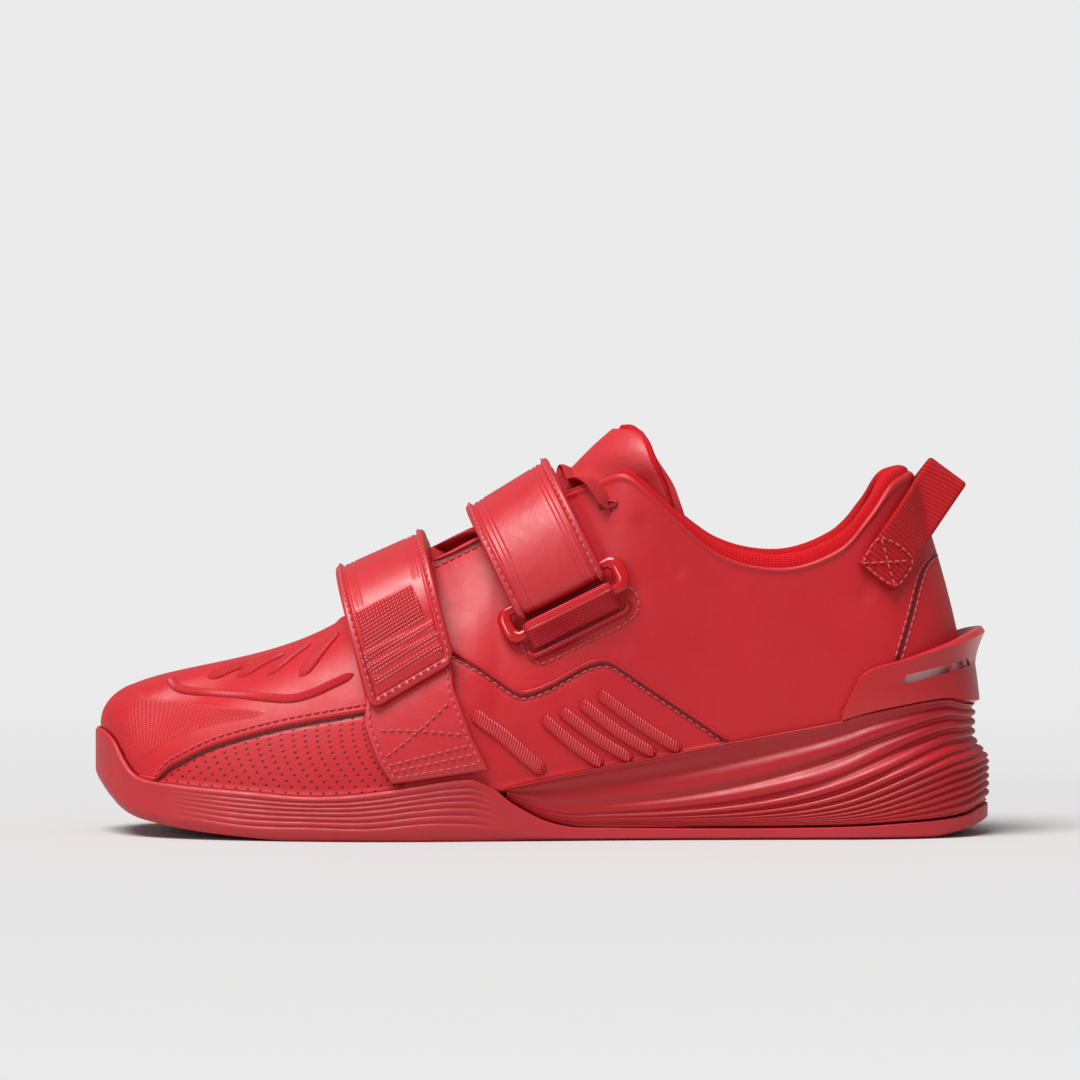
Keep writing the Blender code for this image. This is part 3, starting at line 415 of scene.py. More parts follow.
class Paint:
    """A material's nodes, with short ways to add the usual ones."""

    def __init__(self, name, colour, roughness, specular=0.5, **values):
        self.material = bpy.data.materials.new(name)
        self.material.use_nodes = True
        self.tree = self.material.node_tree
        self.shader = self.tree.nodes["Principled BSDF"]
        self.shader.inputs["Base Color"].default_value = tuple(colour) + (1.0,)
        self.shader.inputs["Roughness"].default_value = roughness
        self.shader.inputs["Specular IOR Level"].default_value = specular
        for socket, value in values.items():
            self.shader.inputs[socket.replace("_", " ")].default_value = value
        self.height = None

    def node(self, kind, values=None, **links):
        made = self.tree.nodes.new(kind)
        for key, value in (values or {}).items():
            if key in made.inputs:
                made.inputs[key].default_value = value
            else:
                setattr(made, key, value)
        for key, source in links.items():
            self.tree.links.new(source, made.inputs[key])
        return made

    def fill(self, made, sockets, values):
        """Sets numbers and colours on a node's sockets, and links what is a link."""
        for socket, value in zip(sockets, values):
            if isinstance(value, tuple):
                made.inputs[socket].default_value = value + (1.0,)
            elif isinstance(value, (int, float)):
                made.inputs[socket].default_value = value
            else:
                self.tree.links.new(value, made.inputs[socket])
        return made

    def math(self, operation, a, b=0.0):
        made = self.node("ShaderNodeMath", {"operation": operation})
        return self.fill(made, (0, 1), (a, b)).outputs[0]

    def mask(self, name):
        return self.node("ShaderNodeAttribute", {"attribute_name": name}).outputs["Fac"]

    def flat(self):
        """Places on the flat material."""
        return self.node("ShaderNodeAttribute", {"attribute_name": "flat"}).outputs["Vector"]

    def solid(self):
        """Places in the shoe's own space."""
        return self.node("ShaderNodeTexCoord").outputs["Object"]

    def ways(self, place=None):
        """How far a place lies along X and along Y, on the flat material if none is given."""
        part = self.node("ShaderNodeSeparateXYZ", Vector=place or self.flat())
        return part.outputs["X"], part.outputs["Y"]

    def zigzag(self, value, pitch):
        """Even climb from 0 to 1 over a pitch of the value, and back over the next."""
        return self.math("MULTIPLY", self.math("PINGPONG", value, pitch), 1 / pitch)

    def noise(self, vector, scale, detail=3.0):
        values = {"Scale": scale, "Detail": detail}
        return self.node("ShaderNodeTexNoise", values, Vector=vector).outputs["Fac"]

    def cells(self, vector, scale):
        values = {"feature": "DISTANCE_TO_EDGE", "Scale": scale}
        return self.node("ShaderNodeTexVoronoi", values, Vector=vector).outputs["Distance"]

    def mix(self, share, a, b):
        """Colour between two colours, which are tuples or links."""
        made = self.node("ShaderNodeMix", {"data_type": "RGBA"})
        return self.fill(made, (0, 6, 7), (share, a, b)).outputs[2]

    def ramp(self, value, low, high, start=0.0, end=1.0):
        made = self.node("ShaderNodeMapRange", {"From Min": low, "From Max": high,
                                                "To Min": start, "To Max": end}, Value=value)
        return made.outputs["Result"]

    def colour(self, share, a, b):
        """Gives the material a colour between two, by a share from 0 to 1."""
        self.tree.links.new(self.mix(share, a, b), self.shader.inputs["Base Color"])

    def gloss(self, scale, low, high, detail=3.0):
        """Lets the roughness drift between two values."""
        drift = self.ramp(self.noise(self.solid(), scale, detail), 0.3, 0.7, low, high)
        self.tree.links.new(drift, self.shader.inputs["Roughness"])

    def relief(self, height, depth):
        """Adds a bump whose full height is depth metres."""
        made = self.node("ShaderNodeBump", {"Strength": 1.0, "Distance": depth}, Height=height)
        if self.height:
            self.tree.links.new(self.height, made.inputs["Normal"])
        self.height = made.outputs["Normal"]
        self.tree.links.new(self.height, self.shader.inputs["Normal"])


def rubber_paint():
    paint = Paint("outsole_rubber", (0.33, 0.018, 0.028), 0.52, 0.6)
    place = paint.solid()
    paint.colour(paint.noise(place, 60.0, 4.0), (0.42, 0.010, 0.016), (0.54, 0.018, 0.028))
    paint.gloss(240.0, 0.44, 0.60)
    paint.relief(paint.noise(place, 2600.0, 2.0), 0.00005)
    return paint.material


def finish(made, body_slot, paint, *nodes):
    made.data.materials.append(paint)
    if nodes:
        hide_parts(*nodes)
    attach(made, "root")
    return made


def groove_fade(share):
    return smooth_step(share, 0.06, 0.22) * (1 - smooth_step(share, 0.415, 0.46))


def outsole_side():
    """Grid of the outsole's side, from the floor's bevel up and over its edge."""
    t = even_turns(1100)[:-1]
    share = share_at(t)
    low = ground(share)
    rise = rim_edge(share) - low
    rows = [laid_point(t, SOLE_BEVEL * FLAT_FROM, ground)]
    for u in np.concatenate([np.linspace(0.0, 0.24, 8), np.linspace(0.26, 0.985, 62)]):
        inset = SOLE_BEVEL * (1 - smooth_step(u, -0.30, 0.24)) * 1.35
        wavy = 0.035 * np.sin(share * 46.0) * (1 - u)
        for level in GROOVE_LEVELS:
            groove = np.exp(-(((u + wavy - level) / GROOVE_WIDTH) ** 2))
            inset = inset + GROOVE_DEPTH * groove_fade(share) * groove
        inset = inset + 0.0005 * smooth_step(u, 0.93, 1.0)
        rows.append(sole_point(t, inset, low + u * rise))
    for inset, down in ((LIP / 2, 0.0), (LIP, 0.0), (LIP + 0.0004, 0.0012)):
        rows.append(sole_point(t, inset, rim_edge(share) - down))
    return np.array(rows)


def underside():
    """Grid across the underside, inside the bevel."""
    t = even_turns(260, 0.0, 0.5)
    edge = laid_point(t, SOLE_BEVEL * FLAT_FROM, ground)
    other = laid_point(1 - t, SOLE_BEVEL * FLAT_FROM, ground)
    points = np.array([edge * (1 - s) + other * s for s in np.linspace(0.0, 1.0, 40)])
    points[..., 2] = ground(points[..., 0] / LENGTH + 0.5)
    return points


def tread_paint():
    """Fine herringbone of the tread, pressed into the underside."""
    paint = Paint("tread_rubber", (0.30, 0.015, 0.024), 0.6)
    place = paint.solid()
    along, across = paint.ways(place)
    line = paint.math("ADD", along, paint.math("PINGPONG", across, 0.006))
    paint.relief(paint.ramp(paint.math("PINGPONG", line, 0.0016), 0.0004, 0.0009), 0.0006)
    paint.colour(paint.noise(place, 90.0), (0.27, 0.012, 0.02), (0.36, 0.02, 0.03))
    return paint.material


side = outsole_side()
outsole = grid_object("outsole_rubber", side, closed=True, uv=lengths(side))
finish(outsole, "outsole", rubber_paint(), "outsole")
tread = grid_object("outsole_tread", underside())
face_out(tread)
finish(tread, "outsole", tread_paint())


# Midsole. A wedge of moulded foam with a hard heel, 20 mm higher at the back, cemented
# between outsole and upper. The mould leaves a fan of wave ribs that starts near the
# arch, sweeps down from the heel's back and melts into a smooth scoop under the edge.
HEEL_FLARE = 0.0046
MIDSOLE_START = 0.463
MIDSOLE_WALL = [
    # share, recess under the edge, share of HEEL_FLARE
    (0.452, 0.0016, 0.00),
    (0.510, 0.0024, 0.00),
    (0.570, 0.0030, 0.00),
    (0.640, 0.0028, 0.05),
    (0.720, 0.0019, 0.18),
    (0.800, 0.0010, 0.36),
    (0.870, 0.0005, 0.55),
    (0.930, 0.0003, 0.80),
    (1.000, 0.0002, 1.00),
]
# Heights of the wave ribs at the back of the heel, from the rim up.
WAVES = (0.08, 0.17, 0.25, 0.33, 0.40, 0.47, 0.54, 0.62, 0.71, 0.81, 0.91)
# Share of the ribs' height that stays evenly spaced, and where the scoop under the edge starts.
EVEN_SPACING = 0.12
SCOOP_FROM = 0.80
WAVE_SWEEP = [
    # share, power that sweeps the ribs down towards the rim
    (0.452, 9.0),
    (0.600, 8.0),
    (0.700, 6.2),
    (0.770, 4.6),
    (0.840, 3.0),
    (0.900, 1.9),
    (0.950, 1.3),
    (1.000, 1.0),
]


def edge_inset(share):
    return curve(MIDSOLE_WALL, share, 2) * HEEL_FLARE


def wave_at(level):
    """Wave ribs at a level of the wall: -1 in a groove and 1 on a rib's crest."""
    rows = [(0.0, -1.0)]
    before = 0.0
    for crest in WAVES:
        rows += [((before + crest) / 2, -1.0), (crest, 1.0)]
        before = crest
    rows += [(0.95, -1.0), (1.0, 0.0)]
    return 1.0 - 2.0 * np.clip((1.0 - curve(rows, np.asarray(level))) / 2.0, 0.0, 1.0) ** 2.0


def midsole_wall():
    start = float(turn(MIDSOLE_START)) / 2
    t = even_turns(800, start, 1 - start)
    share = share_at(t)
    low = rim_edge(share) + 3 * GAP
    rise = top_edge(share) - low
    inset = edge_inset(share) + LIP
    rows = [sole_point(t, LIP + GAP + 0.001, rim_edge(share) + GAP)]
    strength = np.clip((share - 0.50) / 0.25, 0.25, 1.0)
    for level in np.linspace(0.0, 1.0, 96):
        sweep = curve(WAVE_SWEEP, share)
        u = (1 - EVEN_SPACING) * level ** sweep + EVEN_SPACING * level
        room = (1 - EVEN_SPACING) * sweep * level ** (sweep - 1) + EVEN_SPACING
        room = np.clip(room, 0.30, 1.3)
        lift = np.clip((u - SCOOP_FROM) / (1 - SCOOP_FROM), 0.0, 1.0) ** 2
        flare = edge_inset(share) * smooth_step(u, 0.42, 0.68)
        depth = curve(MIDSOLE_WALL, share, 1) * (1 - lift) + flare
        depth = depth - wave_at(level) * strength * room * RIB_DEPTH * 0.6
        rows.append(sole_point(t, depth, low + u * rise))
    rows.append(sole_point(t, edge_inset(share) + 0.0006, top_edge(share) + 0.0001))
    rows.append(sole_point(t, inset, top_edge(share)))
    rows.append(laid_point(t, inset + 0.0006, lambda s: top_edge(s) - 0.0015))
    return np.array(rows)


def foam_paint():
    paint = Paint("moulded_foam", (0.42, 0.018, 0.032), 0.42, 0.55)
    place = paint.solid()
    paint.colour(paint.noise(place, 35.0), (0.38, 0.004, 0.009), (0.48, 0.007, 0.014))
    paint.gloss(160.0, 0.36, 0.48)
    paint.relief(paint.noise(place, 1800.0, 2.0), 0.00003)
    return paint.material


wall = midsole_wall()
midsole = grid_object("midsole_wedge", wall, uv=lengths(wall))
finish(midsole, "midsole", foam_paint(), "midsole")


# Upper. Coated synthetic leather, lasted over the foot form and cemented into the sole,
# with a perforated zone at the forefoot, sunk panels and stitched seams.
COLLAR_HEIGHT = 0.1188
WALL = 0.0022
COLLAR_PADDING = 0.0045
PADDED_FROM = 0.575
FLANGE = 0.009
FOOT_CORE = 0.045
OUTER_TURNS = 521
INNER_TURNS = 341
RIB_LEVELS = 112
PIXEL = 0.00033
PIXEL_MIDDLE = 541.0
PIXEL_FLOOR = 831.0

# Ribs of the upper, from the sole's edge to the edge of collar and throat.
# Shares of LENGTH, BALL_WIDTH and COLLAR_HEIGHT.
FORM = [
    # foot, edge, edge_half, edge_height, rise, bulge, reach, drop
    (0.000, 0.2850, 0.000, 0.602, 0.200, 0.010, 0.320, 0.185),
    (0.030, 0.2880, 0.039, 0.606, 0.200, 0.010, 0.310, 0.180),
    (0.100, 0.2970, 0.083, 0.623, 0.210, 0.012, 0.280, 0.160),
    (0.200, 0.3180, 0.117, 0.661, 0.220, 0.018, 0.220, 0.130),
    (0.300, 0.3520, 0.131, 0.715, 0.235, 0.020, 0.190, 0.110),
    (0.380, 0.4000, 0.136, 0.783, 0.260, 0.020, 0.155, 0.120),
    (0.460, 0.4600, 0.155, 0.863, 0.290, 0.020, 0.120, 0.140),
    (0.530, 0.5200, 0.200, 0.936, 0.280, 0.016, 0.090, 0.160),
    (0.575, 0.5650, 0.262, 0.983, 0.250, 0.014, 0.065, 0.170),
    (0.605, 0.5915, 0.301, 1.000, 0.220, 0.012, 0.050, 0.170),
    (0.635, 0.6150, 0.320, 0.960, 0.200, 0.010, 0.040, 0.160),
    (0.670, 0.6500, 0.328, 0.875, 0.170, 0.008, 0.030, 0.150),
    (0.710, 0.6950, 0.330, 0.783, 0.140, 0.006, 0.025, 0.130),
    (0.770, 0.7650, 0.326, 0.742, 0.120, 0.006, 0.022, 0.120),
    (0.830, 0.8280, 0.304, 0.791, 0.140, 0.010, 0.025, 0.140),
    (0.880, 0.8620, 0.270, 0.880, 0.170, 0.012, 0.030, 0.160),
    (0.930, 0.8870, 0.210, 0.964, 0.190, 0.006, 0.040, 0.180),
    (0.970, 0.9050, 0.125, 0.994, 0.200, -0.010, 0.060, 0.190),
    (1.000, 0.9135, 0.000, 1.000, 0.210, -0.020, 0.075, 0.190),
]
FORM_LOOP = mirrored(FORM, odd=(2,))


def ribs(t):
    """The four points of each rib's curve, from the sole's edge to the upper's edge."""
    a, side = fold(t)
    share = share_at(t)
    edge, half, height, rise, bulge, reach, drop = [curve(FORM_LOOP, a, c) for c in range(1, 8)]
    way = outward(t)
    foot = sole_point(t, edge_inset(share) + LIP + GAP, top_edge(share))
    centre = curve(PLAN_LOOP, turn(edge), 1)
    y = (centre + side * half) * BALL_WIDTH
    top = np.stack([(edge - 0.5) * LENGTH, y, height * COLLAR_HEIGHT], axis=-1)
    low = foot + way * (bulge * BALL_WIDTH)[..., None]
    low[..., 2] += rise * COLLAR_HEIGHT
    high = top + way * (reach * BALL_WIDTH)[..., None]
    high[..., 2] -= drop * COLLAR_HEIGHT
    return foot, low, high, top


def on_ribs(knots, v):
    v = np.asarray(v)[..., None]
    w = 1 - v
    foot, low, high, top = knots
    return foot * w ** 3 + low * (3 * w * w * v) + high * (3 * w * v * v) + top * v ** 3


def form_point(t, v, out=0.0):
    """Points of the upper's outer surface: v is 0 at the sole's edge, 1 at the collar."""
    t = np.asarray(t, dtype=float)
    v = np.broadcast_to(np.asarray(v, dtype=float), t.shape)
    point = on_ribs(ribs(t), v)
    return point + form_normal(t, v) * np.asarray(out)[..., None]


def form_normal(t, v):
    """Ways out of the upper's outer surface."""
    v = np.clip(v, NEAR_TURN, 1 - NEAR_TURN)
    knots = ribs(t)
    around = on_ribs(ribs(t + NEAR_TURN), v) - on_ribs(ribs(t - NEAR_TURN), v)
    up = on_ribs(knots, v + NEAR_TURN) - on_ribs(knots, v - NEAR_TURN)
    return unit(np.cross(around, up))


def wall_at(t, v):
    padding = np.clip((share_at(t) - PADDED_FROM) / 0.06, 0.0, 1.0) * COLLAR_PADDING
    return WALL + padding * np.clip((v - 0.45) / 0.55, 0.0, 1.0) ** 1.5


def base_ring(t, inset, height):
    depth = edge_inset(share_at(t)) + LIP + CUP_SLOPE + GAP + inset
    return laid_point(t, depth, bed, GAP + height)


def upper_turns():
    """Turns around the upper, closer together on the outer side, which shows most."""
    outer = even_turns(OUTER_TURNS, 0.0, 0.5)
    inner = even_turns(INNER_TURNS, 0.5, 1.0)
    return np.concatenate([outer, inner[1:-1]])


UPPER_T = upper_turns()
UPPER_V = np.linspace(0.0, 1.0, RIB_LEVELS)
T_GRID, V_GRID = np.meshgrid(UPPER_T, UPPER_V)
FORM_GRID = form_point(T_GRID, V_GRID)
NORMAL_GRID = form_normal(T_GRID, V_GRID)


def grid_tree(points, closed=True):
    return BVHTree.FromPolygons(points.reshape(-1, 3).tolist(), grid_faces(*points.shape[:2], closed))


FORM_TREE = grid_tree(FORM_GRID[::3, ::3])


def on_side(x, z, side):
    """Point of the upper at a side-view place, and the way out of it there."""
    start = Vector((x, side * BALL_WIDTH, z))
    point, normal = FORM_TREE.ray_cast(start, Vector((0.0, -side, 0.0)))[:2]
    if point is None:
        point, normal = FORM_TREE.find_nearest(Vector((x, 0.0, z)))[:2]
    if normal.z < 0 and abs(normal.y) < 0.05 or normal.y * side < 0 and abs(normal.y) > 0.3:
        normal = -normal
    return point, normal


def photo(x, y):
    """Side-view place of a pixel of the photograph."""
    return (x - PIXEL_MIDDLE) * PIXEL, (PIXEL_FLOOR - y) * PIXEL


def smooth_line(points, step=0.0006):
    """Points along a smooth line through the given ones, a step apart."""
    points = [Vector(p) for p in points]
    fine = []
    count = len(points)
    for k in range(count - 1):
        p0, p1, p2, p3 = [points[min(max(k + n, 0), count - 1)] for n in (-1, 0, 1, 2)]
        pieces = max(1, int((p2 - p1).length / step))
        for n in range(pieces):
            u = n / pieces
            a = p1 * 2 + (p2 - p0) * u + (p0 * 2 - p1 * 5 + p2 * 4 - p3) * u * u
            fine.append((a + (p1 * 3 - p0 - p2 * 3 + p3) * u ** 3) / 2)
    fine.append(points[-1])
    return fine


def pixel_line(pixels, step):
    """Smooth flat line through pixels, as (x, z, 0) places of the side view."""
    return smooth_line([photo(*pixel) + (0.0,) for pixel in pixels], step)


def near_line(points, line, reach):
    """Distance of each grid point to a line of points, looked for within reach."""
    tree = KDTree(len(line))
    for n, p in enumerate(line):
        tree.insert(p, n)
    tree.balance()
    low = np.min([tuple(p) for p in line], axis=0) - reach
    high = np.max([tuple(p) for p in line], axis=0) + reach
    distance = np.full(points.shape[:2], 1.0)
    for k, j in np.argwhere(((points >= low) & (points <= high)).all(axis=-1)):
        distance[k, j] = tree.find(points[k, j])[2]
    return distance


def inside(corners, x, z):
    """Signed distance into a side-view outline of pixels, positive inside."""
    loop = [photo(*corner) for corner in corners]
    crossings = np.zeros(x.shape, dtype=bool)
    nearest = np.full(x.shape, 1.0)
    for (ax, az), (bx, bz) in zip(loop, loop[1:] + loop[:1]):
        spans = (az > z) != (bz > z)
        cut = ax + (z - az) * (bx - ax) / ((bz - az) or 1e-9)
        crossings ^= spans & (x < cut)
        dx, dz = bx - ax, bz - az
        u = np.clip(((x - ax) * dx + (z - az) * dz) / max(dx * dx + dz * dz, 1e-12), 0.0, 1.0)
        nearest = np.minimum(nearest, np.hypot(x - ax - u * dx, z - az - u * dz))
    return np.where(crossings, nearest, -nearest)


# Outlines and lines of the upper, in pixels of the photograph's side view.
PERFORATED = ((165, 782), (158, 776), (171, 761), (188, 751), (210, 740), (232, 732), (275, 720),
              (318, 711), (380, 700), (415, 790), (300, 800))
TOE_GRIP = ((60, 684), (137, 684), (147, 694), (167, 696.5), (210, 698), (245, 701), (275, 705),
            (260, 711), (232, 716), (201, 724), (178, 734), (160, 745), (145, 756), (135, 767), (60, 767))
VAMP_SEAM = ((159, 776),) + PERFORATED[2:9]
ROPE = ((172, 676), (178, 683.5), (188, 687), (210, 689), (243, 690), (275, 692), (297, 692), (318, 686),
        (340, 676), (357, 668))
TOE_BARS = (((210, 675), (236, 664.5), (257, 659)), ((240, 674), (266, 659), (286, 651)),
            ((271, 671), (295, 652), (312, 641)), ((304, 671), (324, 646), (339, 630)))
QUARTER_SEAM = ((452, 644), (481, 660), (515, 683), (529, 685), (551, 677), (586, 658), (606, 654),
                (618, 660), (658, 687), (704, 718), (731, 738))
QUARTER = ((405, 620),) + QUARTER_SEAM[:-1] + ((740, 744), (600, 800), (400, 800))
ARCH_BARS = (((543, 711), (570, 735), (600, 757)), ((561, 704), (593, 729), (629, 752)),
             ((580, 696), (614, 723), (652, 747)), ((598, 687), (636, 716), (677, 743)))
LONG_BAR = ((474, 705), (485, 715), (502, 727), (524, 747), (544, 764))
EYESTAY = ((418, 566), (430, 561), (474, 539), (520, 512), (600, 468))
COUNTER_SEAM = ((929, 553), (915, 569), (903, 611), (890, 655))
ANKLE_CREASES = (((640, 520), (655, 545), (676, 566)), ((880, 540), (868, 566), (862, 590)),
                 ((560, 640), (590, 634), (622, 640)))

X_GRID, Z_GRID = FORM_GRID[..., 0], FORM_GRID[..., 2]
OUTER = (T_GRID <= 0.5)
relief = np.zeros_like(X_GRID)
marks = {name: np.zeros_like(X_GRID) for name in ("holes", "grip", "seam_shade")}


def add_ridge(pixels, width, height, mask=None):
    """Soft rib, or a trough where height is negative, along a line on both sides of the upper."""
    for side in (-1, 1):
        line = [on_side(p.x, p.y, side)[0] for p in pixel_line(pixels, 0.0006)]
        near = near_line(FORM_GRID, line, 3.5 * width)
        near = np.where(OUTER == (side < 0), near, 1.0)
        shape = np.exp(-((near / width) ** 2))
        np.add(relief, height * shape, out=relief)
        if mask:
            np.maximum(marks[mask], smooth_step(shape, 0.15, 0.6), out=marks[mask])


holes_in = inside(PERFORATED, X_GRID, Z_GRID)
relief -= 0.0007 * smooth_step(holes_in, -0.0002, 0.0005)
marks["holes"] = smooth_step(holes_in, 0.0012, 0.0018)
marks["grip"] = smooth_step(inside(TOE_GRIP, X_GRID, Z_GRID), 0.0, 0.0012)
relief += 0.00025 * marks["grip"]
relief -= 0.0006 * smooth_step(inside(QUARTER, X_GRID, Z_GRID), -0.0002, 0.0005)
# The troughs beside the seams are also marked in a mask that the leather paints darker, as painted shade.
for line, shift in ((VAMP_SEAM, 4.0), (QUARTER_SEAM, 4.5), (EYESTAY, 3.5)):
    add_ridge([(x, y + shift) for x, y in line], 0.0008, -0.0005, "seam_shade")
add_ridge([(x + 4.5, y) for x, y in COUNTER_SEAM], 0.0010, -0.0004, "seam_shade")
for crease in ANKLE_CREASES:
    add_ridge(crease, 0.0030, -0.0005)
relief *= smooth_step(V_GRID, 0.0, 0.02)
relief += 0.0006 * smooth_step(V_GRID, 0.955, 0.975) * (1 - smooth_step(V_GRID, 0.985, 1.0))

SKIN_GRID = FORM_GRID + NORMAL_GRID * relief[..., None]
SKIN_TREE = grid_tree(SKIN_GRID)


def nearest_skin(place):
    """Nearest point on the finished upper, and the way out of it."""
    point, normal = SKIN_TREE.find_nearest(place)[:2]
    core = Vector((point.x, 0.0, min(point.z, FOOT_CORE)))
    return point, normal if normal.dot(point - core) > 0 else -normal


def on_skin(x, z, side):
    """Point on the finished upper at a side-view place, and the way out of it."""
    hit = SKIN_TREE.ray_cast(Vector((x, side * BALL_WIDTH, z)), Vector((0.0, -side, 0.0)))[0]
    return nearest_skin(hit or Vector((x, side * 0.02, z)))


def signed_lengths(points, t):
    """Places on the flat leather: along the shoe from the toe's middle, and up each rib."""
    over = np.linalg.norm(np.diff(points, axis=1, append=points[:, :1]), axis=2)
    along = np.concatenate([np.zeros((points.shape[0], 1)), np.cumsum(over, axis=1)[:, :-1]], axis=1)
    along = np.where(t > 0.5, along - over.sum(axis=1, keepdims=True), along)
    up = np.linalg.norm(np.diff(points, axis=0), axis=2)
    rise = np.concatenate([np.zeros((1, points.shape[1])), np.cumsum(up, axis=0)], axis=0)
    return np.stack([along, rise], axis=-1)


HOLE_PITCH = 0.0042
HOLE_EDGE = (0.085, 0.110)


def leather_paint():
    paint = Paint("coated_leather", (0.45, 0.016, 0.026), 0.45)
    place = paint.flat()
    across, up = paint.ways(place)
    solid = paint.solid()
    spots = []
    for shift in (0.0, 0.5):
        values = {"Location": (shift, shift, 0.0), "Scale": (1 / HOLE_PITCH, 1.1 / HOLE_PITCH, 1.0)}
        moved = paint.node("ShaderNodeMapping", values, Vector=place).outputs["Vector"]
        cell = paint.node("ShaderNodeVectorMath", {"operation": "FRACTION"})
        paint.tree.links.new(moved, cell.inputs[0])
        centred = paint.node("ShaderNodeVectorMath", {"operation": "DISTANCE"})
        paint.tree.links.new(cell.outputs[0], centred.inputs[0])
        centred.inputs[1].default_value = (0.5, 0.5, 0.0)
        spots.append(paint.ramp(centred.outputs["Value"], *HOLE_EDGE, 1.0, 0.0))
    holes = paint.math("MULTIPLY", paint.math("MAXIMUM", *spots), paint.mask("holes"))
    base = paint.mix(paint.noise(solid, 28.0), (0.50, 0.006, 0.012), (0.60, 0.010, 0.018))
    # Painted shade: the leather is darker along the troughs beside the seams.
    base = paint.mix(paint.mask("seam_shade"), base, (0.20, 0.003, 0.006))
    # Painted shade: the holes are coloured near black for the shade inside them.
    paint.colour(holes, base, (0.06, 0.002, 0.004))
    rise = paint.zigzag(paint.math("ADD", across, up), 0.0007)
    fall = paint.zigzag(paint.math("SUBTRACT", across, up), 0.0007)
    hatch = paint.math("MULTIPLY", paint.math("ADD", rise, fall), paint.mask("grip"))
    paint.relief(paint.cells(solid, 1500.0), 0.00003)
    paint.relief(paint.noise(solid, 320.0, 4.0), 0.00010)
    paint.relief(paint.math("MULTIPLY", hatch, 0.5), 0.0002)
    paint.relief(paint.math("MULTIPLY", holes, -1.0), 0.0006)
    paint.gloss(90.0, 0.42, 0.55, 4.0)
    return paint.material


def upper_skin():
    """The leather from under the sole's lip to its edge, and a little way over that."""
    share = share_at(UPPER_T)
    tuck = sole_point(UPPER_T, edge_inset(share) + LIP + GAP + 0.0008, top_edge(share) - 0.0012)
    over = form_point(UPPER_T, 1.0, -0.0009)
    over[:, 2] += 0.0004
    down = form_point(UPPER_T, 0.985, -0.0012)
    return np.concatenate([[base_ring(UPPER_T, 0.0, 0.002), tuck], SKIN_GRID, [over, down]])


skin = upper_skin()
padding = np.zeros((2, SKIN_GRID.shape[1]))
skin_marks = {name: np.concatenate([padding, values, padding]) for name, values in marks.items()}
places = signed_lengths(skin, np.broadcast_to(UPPER_T, skin.shape[:2]))
upper = grid_object("upper_leather", skin, closed=True, uv=places, masks=skin_marks)
finish(upper, "upper", leather_paint(), "upper")


# Moulded lines. A hot tool raises bars and cords of rubber film on the leather, ribbed for
# grip, and the panels' folded edges stand up as thin plain cords.
BAR_PROFILE = ((-1.0, -0.4), (-0.92, 0.35), (-0.78, 0.85), (-0.5, 1.0), (0.0, 1.06),
               (0.5, 1.0), (0.78, 0.85), (0.92, 0.35), (1.0, -0.4))
BAR_STEP = 0.0007
# Lines with their width, height and share of the width at the ends.
MOULDED = [(ROPE, 0.0034, 0.0008, 0.2)]
MOULDED += [(line, 0.0056, 0.0009, 0.3) for line in TOE_BARS]
MOULDED += [(line, 0.0044, 0.0012, 0.75) for line in ARCH_BARS]
MOULDED += [(LONG_BAR, 0.0054, 0.0010, 0.5)]
FOLDED = [(VAMP_SEAM, 0.0015, 0.0007, 0.3), (QUARTER_SEAM, 0.0014, 0.0006, 0.3),
          (EYESTAY, 0.0013, 0.0005, 0.3)]


def softened(grid, times=1):
    """Grid whose inner rows are drawn towards their neighbours."""
    for _ in range(times):
        grid[1:-1] = (grid[:-2] + grid[1:-1] * 2 + grid[2:]) / 4
    return grid


def raised_line(pixels, width, height, tip, side):
    """Low bar with soft shoulders, laid along a line on the upper."""
    flat = pixel_line(pixels, 0.0015)
    line = smooth_line([on_skin(p.x, p.y, side)[0] for p in flat], BAR_STEP)
    rows = []
    for n, p in enumerate(line):
        along = line[min(n + 1, len(line) - 1)] - line[max(n - 1, 0)]
        over = nearest_skin(p)[1].cross(along).normalized()
        size = min(1.0, tip + math.sqrt(min(n, len(line) - 1 - n) * BAR_STEP / width))
        row = []
        for c, h in BAR_PROFILE:
            point, out = nearest_skin(p + over * (c * width / 2 * size))
            row.append(tuple(point + out * (height * h * size)))
        rows.append(row)
    rows = softened(np.array(rows))
    return grid_object("raised_line", rows, uv=lengths(rows))


def ribbed_paint():
    paint = Paint("ribbed_film", (0.55, 0.012, 0.02), 0.4)
    across, along = paint.ways()
    rib = paint.zigzag(paint.math("ADD", along, paint.math("MULTIPLY", across, 0.5)), 0.0005)
    paint.relief(rib, 0.00025)
    # Painted shade: the colour is darker in the troughs between the ribs and lighter on their crests.
    paint.colour(rib, (0.50, 0.008, 0.015), (0.62, 0.014, 0.024))
    return paint.material


def joined(name, pieces):
    """One object from several."""
    for piece in pieces:
        piece.select_set(True)
    bpy.context.view_layer.objects.active = pieces[0]
    with bpy.context.temp_override(active_object=pieces[0], selected_editable_objects=pieces):
        bpy.ops.object.join()
    pieces[0].name = name
    return pieces[0]


def moulded(name, lines, paint):
    raised = joined(name, [raised_line(*line, side) for line in lines for side in (-1, 1)])
    face_out(raised)
    finish(raised, "upper", paint)


moulded("moulded_bars", MOULDED, ribbed_paint())
moulded("folded_edges", FOLDED, leather_paint())


# Lining. Knit fabric over foam, turned over the collar's top as a soft roll, and sewn down
# inside the quarters. Inside the forefoot it lies flat on the leather.
LINING_RED = (0.84, 0.010, 0.018)
# Second colour of the knits: painted shade in the gaps between the loops.
LINING_LOOP_SHADE = (0.50, 0.003, 0.006)
LINING_TURNS = 620


